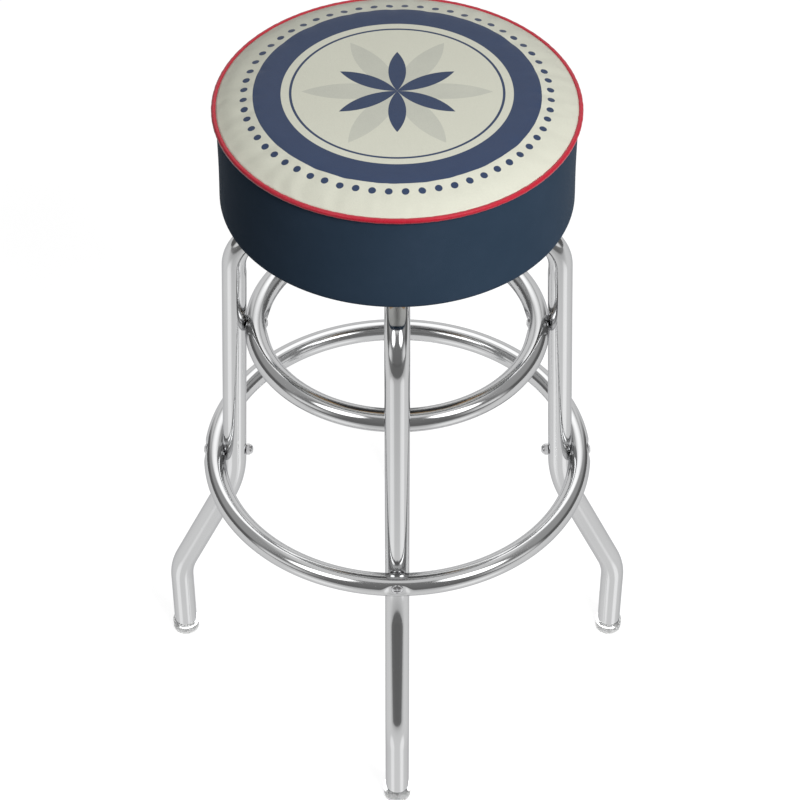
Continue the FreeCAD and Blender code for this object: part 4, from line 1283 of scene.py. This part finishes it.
def printed_vinyl():
    """Cream vinyl with a navy ring, a row of dots and a compass-drawn flower, under a satin lacquer."""
    material, tree, shader, place = new_finish("printed_vinyl", roughness=0.45)
    shader.inputs["Specular IOR Level"].default_value = 0.35
    x, y = node(tree, "ShaderNodeSeparateXYZ", {0: place}).outputs[:2]
    radius = length_of(tree, x, y)
    turn = calc(tree, "ARCTAN2", y, x)
    grain = leather_grain(tree, place)
    cloud = noise(tree, place, scale=9, detail=4, roughness=0.6)
    field = mixed(tree, cloud, CREAM_WORN, CREAM)
    pale = petals(tree, radius, turn, PALE_PETAL_LENGTH, math.radians(60))
    strength = between(tree, noise(tree, place, scale=45, detail=3), 0.4, 0.75)
    field = mixed(tree, both(tree, pale, strength), field, PRINT_PALE)
    ink = stripe(tree, radius, *PRINT_BAND)
    for mark in (stripe(tree, radius, *PRINT_LINE), dots(tree, radius, turn),
                 petals(tree, radius, turn, PETAL_LENGTH, math.radians(90))):
        ink = calc(tree, "MAXIMUM", ink, mark)
    worn = mixed(tree, noise(tree, place, scale=60, detail=5, roughness=0.65), PRINT_NAVY, PRINT_NAVY_WORN)
    colour = mixed(tree, ink, field, worn)
    # Painted shade: the grain's grooves are darkened up to a tenth toward grey.
    pores_and_groove_shade = calc(tree, "MULTIPLY", calc(tree, "SUBTRACT", 1, grain), 0.1)
    coloured(tree, shader, pores_and_groove_shade, colour, (0.1, 0.1, 0.1, 1))
    rough = calc(tree, "MULTIPLY_ADD", cloud, 0.12, between(tree, grain, 0.46, 0.36))
    tree.links.new(calc(tree, "MULTIPLY_ADD", ink, -0.05, rough), shader.inputs["Roughness"])
    bump(tree, shader, grain, depth=0.00006, strength=0.7)
    return material


def navy_vinyl():
    """Plain navy vinyl with the same embossed grain, rubbed a little paler where knees brush it."""
    material, tree, shader, place = new_finish("navy_vinyl", roughness=0.6)
    shader.inputs["Specular IOR Level"].default_value = 0.01
    shader.inputs["Sheen Weight"].default_value = 0.05
    shader.inputs["Sheen Roughness"].default_value = 0.35
    grain = leather_grain(tree, place)
    cloud = noise(tree, place, scale=14, detail=4, roughness=0.6)
    colour = mixed(tree, cloud, (0.022, 0.04, 0.066, 1), (0.034, 0.055, 0.087, 1))
    rubbed = both(tree, faded(tree, cloud, 0.5, 0.75), grain)
    coloured(tree, shader, both(tree, rubbed, 0.3), colour, (0.04, 0.06, 0.1, 1))
    rough = calc(tree, "MULTIPLY_ADD", cloud, 0.14, between(tree, grain, 0.62, 0.5))
    tree.links.new(rough, shader.inputs["Roughness"])
    bump(tree, shader, grain, depth=0.00006, strength=0.8)
    return material


def cover_piece(name, points, faces, finish):
    mesh = bpy.data.meshes.new(name)
    mesh.from_pydata(points.tolist(), [], faces)
    mesh.materials.append(finish)
    smooth_faces(mesh)
    piece = bpy.data.objects.new(name, mesh)
    scene.collection.objects.link(piece)
    smooth = piece.modifiers.new("smooth", "SUBSURF")
    smooth.levels = smooth.render_levels = 1
    thick = piece.modifiers.new("thick", "SOLIDIFY")
    thick.thickness = VINYL
    thick.offset = -1
    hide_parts(name)
    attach(piece, "seat")


def make_cover():
    """Builds panel and band as one cloth that meets at the seam, blows it up and parts it again."""
    points, panel_faces, rim = panel_grid()
    panel_count = len(points)
    loops = [rim]
    for radius, height in band_outline():
        loops.append([len(points) + step for step in range(columns)])
        points += level_circle(radius, height, columns)
    band_faces = []
    for upper, lower in zip(loops, loops[1:]):
        for step in range(columns):
            after = (step + 1) % columns
            band_faces.append((upper[step], lower[step], lower[after], upper[after]))
    points = np.array(points)
    loose_rows = loops[2:BAND_ROWS + 1]
    loose = set(index for loop in loose_rows for index in loop)
    loose |= set(range(panel_count)) - set(rim)
    held = [index for index in range(len(points)) if index not in loose]
    most = np.where(np.arange(len(points)) < panel_count, CROWN_SWELL, BAND_SWELL)
    settled = blown_up(points, panel_faces + band_faces, held, most)
    settled = puckered(settled)
    cover_piece("seat_top_panel", settled[:panel_count], panel_faces, printed_vinyl())
    band_faces = [tuple(index - panel_count for index in face) for face in band_faces[columns:]]
    cover_piece("seat_side_band", settled[panel_count:], band_faces, navy_vinyl())


make_cover()


# Band seam
# The band is one strip whose ends are sewn together at the back, with a row of stitches on each side.
STITCH_LENGTH = 0.0026
STITCH_GAP = 0.0012
STITCH_WIDTH = 0.0007
STITCH_OFFSET = 0.0028
STITCH_COUNT = 24
STITCH_LOW = 0.654
STITCH_PROUD = 0.0001           # of the stitch's middle in front of the vinyl


def row_tree():
    """Repeats a shape at even steps up a straight row."""
    tree, given = new_tree("row_up", {"Count": "Int", "Spacing": "Float"})
    step = node(tree, "ShaderNodeCombineXYZ", {"Z": given["Spacing"]}).outputs[0]
    row = node(tree, "GeometryNodeMeshLine", {"Count": given["Count"], "Offset": step}).outputs[0]
    inputs = {"Points": row, "Instance": given["Shape"]}
    repeated = node(tree, "GeometryNodeInstanceOnPoints", inputs).outputs[0]
    close_tree(tree, repeated, given)
    return tree


def thread_finish():
    """Navy polyester thread with a fine twist."""
    material, tree, shader, place = new_finish("seam_thread", roughness=0.7)
    turned = node(tree, "ShaderNodeMapping", {"Vector": place, "Scale": (1, 1, 0.4)}).outputs[0]
    twist = noise(tree, turned, scale=2200, detail=2)
    coloured(tree, shader, twist, (0.006, 0.012, 0.03, 1), (0.03, 0.05, 0.09, 1))
    tree.links.new(between(tree, twist, 0.55, 0.85), shader.inputs["Roughness"])
    bump(tree, shader, twist, depth=0.0001)
    return material


def make_seam():
    stitches = []
    for side in (1, -1):
        one = bpy.data.meshes.new("stitch")
        bm = bmesh.new()
        bmesh.ops.create_uvsphere(bm, u_segments=8, v_segments=6, radius=0.5)
        bmesh.ops.scale(bm, vec=(STITCH_WIDTH, STITCH_WIDTH, STITCH_LENGTH), verts=bm.verts)
        place = (side * STITCH_OFFSET, SEAT_RADIUS + STITCH_PROUD, STITCH_LOW)
        bmesh.ops.translate(bm, vec=place, verts=bm.verts)
        bm.to_mesh(one)
        bm.free()
        stitches.append(one)
    values = {"Count": STITCH_COUNT, "Spacing": STITCH_LENGTH + STITCH_GAP, "Material": thread_finish()}
    piece = grown("band_seam_stitches", joined("stitches", stitches), row_tree(), values)
    finish_shape(piece.data, sharp_angle=180)
    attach(piece, "seat")


make_seam()


# Piping
# A strip of red vinyl wrapped round a twisted cord and caught in the seam between panel and band.
PIPING_CORD_RADIUS = 0.0019
PIPING_SKIN = 0.0006
PIPING_STEPS = 720
PIPING_SIDES = 28
CORD_STEPS = 1000
CORD_SIDES = 18
STRANDS = 3
TWIST_PITCH = 0.009
STRAND_DEPTH = 0.0003
JOINT_SWELL = 0.0004
JOINT_HALF = 0.007              # half the length of the overlap at the back
JOINT_EDGE = 0.0015
PIPING_RIPPLE = 0.00005
PIPING_WAVES = ((97, 0), (61, 1.3), (143, 0.4))     # waves round the seat, and where each starts


def swell_hoop(piece, circle, height, radius_at):
    """Moves each point of a hoop to the radius given for its turn round the seat and the section."""
    points = points_of(piece.data)
    x, y, z = points.T
    turn = np.arctan2(y, x)
    out = np.hypot(x, y) - circle
    up = z - height
    round_section = np.arctan2(up, out)
    radius = radius_at(turn, round_section)
    reach = circle + radius * np.cos(round_section)
    put_points(piece.data, np.stack([reach * np.cos(turn), reach * np.sin(turn),
                                     height + radius * np.sin(round_section)], axis=1))


def piping_radius_at(turn, round_section):
    """The same all round the section: thicker at the joint, with a faint ripple."""
    from_back = np.abs(turn - math.pi / 2) * PIPING_CIRCLE
    joint = JOINT_SWELL * np.clip((JOINT_HALF - from_back) / JOINT_EDGE + 0.5, 0, 1)
    ripple = PIPING_RIPPLE * sum(np.cos(count * turn + start) for count, start in PIPING_WAVES)
    return PIPING_RADIUS + joint + ripple


def cord_radius_at(turn, round_section):
    """Grooved between the strands, which turn once round the section in each twist."""
    twist = round_section * STRANDS + turn * PIPING_CIRCLE * math.tau / TWIST_PITCH
    return PIPING_CORD_RADIUS - STRAND_DEPTH * np.abs(np.sin(twist / 2))


def red_vinyl():
    """Glossy red vinyl stretched over the cord."""
    material, tree, shader, place = new_finish("red_vinyl", roughness=0.3)
    cloud = noise(tree, place, scale=40, detail=4)
    coloured(tree, shader, cloud, (0.36, 0.006, 0.02, 1), (0.46, 0.01, 0.03, 1))
    grain = leather_grain(tree, place)
    tree.links.new(between(tree, grain, 0.4, 0.26), shader.inputs["Roughness"])
    bump(tree, shader, grain, depth=0.00004, strength=0.6)
    return material


def cord_finish():
    """Undyed cotton, matted with fine fibres."""
    material, tree, shader, place = new_finish("piping_cord", roughness=0.9)
    fibres = noise(tree, place, scale=2500, detail=3)
    coloured(tree, shader, fibres, (0.55, 0.53, 0.46, 1), (0.78, 0.76, 0.7, 1))
    tree.links.new(between(tree, fibres, 0.8, 1.0), shader.inputs["Roughness"])
    bump(tree, shader, fibres, depth=0.0001)
    return material


def round_seat(name, radius, steps, sides, finish, radius_at):
    """A hoop along the seam, in the CAD node's place."""
    values = {"Circle": PIPING_CIRCLE, "Height": PIPING_HEIGHT, "Tube Radius": radius, "Steps": steps,
              "Sides": sides, "Material": finish}
    piece = grown(name, bpy.data.meshes.new(name), hoop_by_nodes, values)
    swell_hoop(piece, PIPING_CIRCLE, PIPING_HEIGHT, radius_at)
    set_outward(piece.data)
    finish_shape(piece.data, sharp_angle=60)
    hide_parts(name)
    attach(piece, "seat")
    return piece


piping = round_seat("seat_piping", PIPING_RADIUS, PIPING_STEPS, PIPING_SIDES, red_vinyl(),
                    piping_radius_at)
skin = piping.modifiers.new("skin", "SOLIDIFY")
skin.thickness = PIPING_SKIN
skin.offset = -1
round_seat("piping_cord", PIPING_CORD_RADIUS, CORD_STEPS, CORD_SIDES, cord_finish(),
           cord_radius_at)


# Dust cover and staples
# A ring of thin pale non-woven cloth that hides the cut edges under the seat, held by wire staples
# driven through it and the hem into the board.
COVER_THICKNESS = 0.0005
COVER_OUTER = 0.162
COVER_HOLE = 0.1128
COVER_SAG = 0.0012
COVER_GATHER = 0.35             # how much less it sags at each staple, as a share
COVER_WAVE = 0.0002
COVER_WAVES = 9
COVER_HELD = 0.006              # inside the staples to where it starts to sag
COVER_CLEARANCE = 0.00002
COVER_ROWS = 14
COVER_STEPS = 12                # for each staple
STAPLE_COUNT = 28
STAPLE_CIRCLE = 0.156
STAPLE_WIDTH = 0.010
STAPLE_WIRE = 0.0008
STAPLE_SIDES = 8
STAPLE_LEG = 0.007
BOND_GRID = 3500                # radians of the bond points' pattern in each metre


def non_woven():
    """Spun-bonded cloth: matted fibres, pressed with a fine grid of bond points."""
    material, tree, shader, place = new_finish("pale_cover", roughness=0.9)
    x, y = node(tree, "ShaderNodeSeparateXYZ", {0: place}).outputs[:2]
    grid = both(tree, calc(tree, "SINE", both(tree, x, BOND_GRID)),
                calc(tree, "SINE", both(tree, y, BOND_GRID)))
    bonds = faded(tree, grid, 0.55, 0.8)
    fibres = noise(tree, place, scale=1400, detail=4, roughness=0.7)
    colour = mixed(tree, fibres, (0.58, 0.58, 0.56, 1), (0.78, 0.78, 0.76, 1))
    coloured(tree, shader, both(tree, bonds, 0.3), colour, (0.5, 0.5, 0.48, 1))
    tree.links.new(between(tree, fibres, 0.8, 1.0), shader.inputs["Roughness"])
    bump(tree, shader, calc(tree, "SUBTRACT", fibres, both(tree, bonds, 0.6)), depth=0.00015)
    return material


def dust_cover_height(radius, turn):
    """Flat where it is stapled, and sagging a little from there to its inner edge."""
    free = max(STAPLE_CIRCLE - COVER_HELD - radius, 0) / (STAPLE_CIRCLE - COVER_HOLE)
    gather = 1 + COVER_GATHER * math.cos(STAPLE_COUNT * turn)
    sag = COVER_SAG * math.sin(math.pi * min(free, 1)) * gather
    wave = COVER_WAVE * free * math.cos(COVER_WAVES * turn + 1)
    return SKIRT_BOTTOM - COVER_CLEARANCE - sag - wave


def make_dust_cover():
    count = STAPLE_COUNT * COVER_STEPS
    points = []
    for row in range(COVER_ROWS + 1):
        radius = COVER_HOLE + (COVER_OUTER - COVER_HOLE) * row / COVER_ROWS
        for step in range(count):
            turn = math.tau * step / count
            height = dust_cover_height(radius, turn)
            points.append((radius * math.cos(turn), radius * math.sin(turn), height))
    faces = []
    for row in range(COVER_ROWS):
        for step in range(count):
            after = (step + 1) % count
            inner, outer = row * count, (row + 1) * count
            faces.append((inner + step, outer + step, outer + after, inner + after))
    mesh = bpy.data.meshes.new("dust_cover")
    mesh.from_pydata(points, [], faces)
    mesh.materials.append(non_woven())
    smooth_faces(mesh)
    piece = bpy.data.objects.new("dust_cover", mesh)
    scene.collection.objects.link(piece)
    thick = piece.modifiers.new("thick", "SOLIDIFY")
    thick.thickness = COVER_THICKNESS
    thick.offset = -1
    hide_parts("dust_cover")
    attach(piece, "seat")


def make_staples():
    """Bends one staple and repeats it round the hem."""
    half = (STAPLE_WIDTH - STAPLE_WIRE) / 2
    low = SKIRT_BOTTOM - COVER_THICKNESS - STAPLE_WIRE / 2
    high = low + STAPLE_WIRE / 2 + STAPLE_LEG
    corners = [(0, -half, high), (0, -half, low), (0, half, low), (0, half, high)]
    values = {"Tube Radius": STAPLE_WIRE / 2, "Spacing": STAPLE_WIRE, "Sides": STAPLE_SIDES,
              "Material": zinc_plate}
    line = line_mesh("staple", corners, [0, STAPLE_WIRE, STAPLE_WIRE, 0])
    wire = grown("staple", line, bent_tube, values)
    one = wire.data
    bpy.data.objects.remove(wire)
    one.transform(Matrix.Translation((STAPLE_CIRCLE, 0, 0)))
    set_outward(one)
    hardware("cover_staples", one, zinc_plate, body="seat", count=STAPLE_COUNT,
             sharp_angle=60)


make_dust_cover()
make_staples()
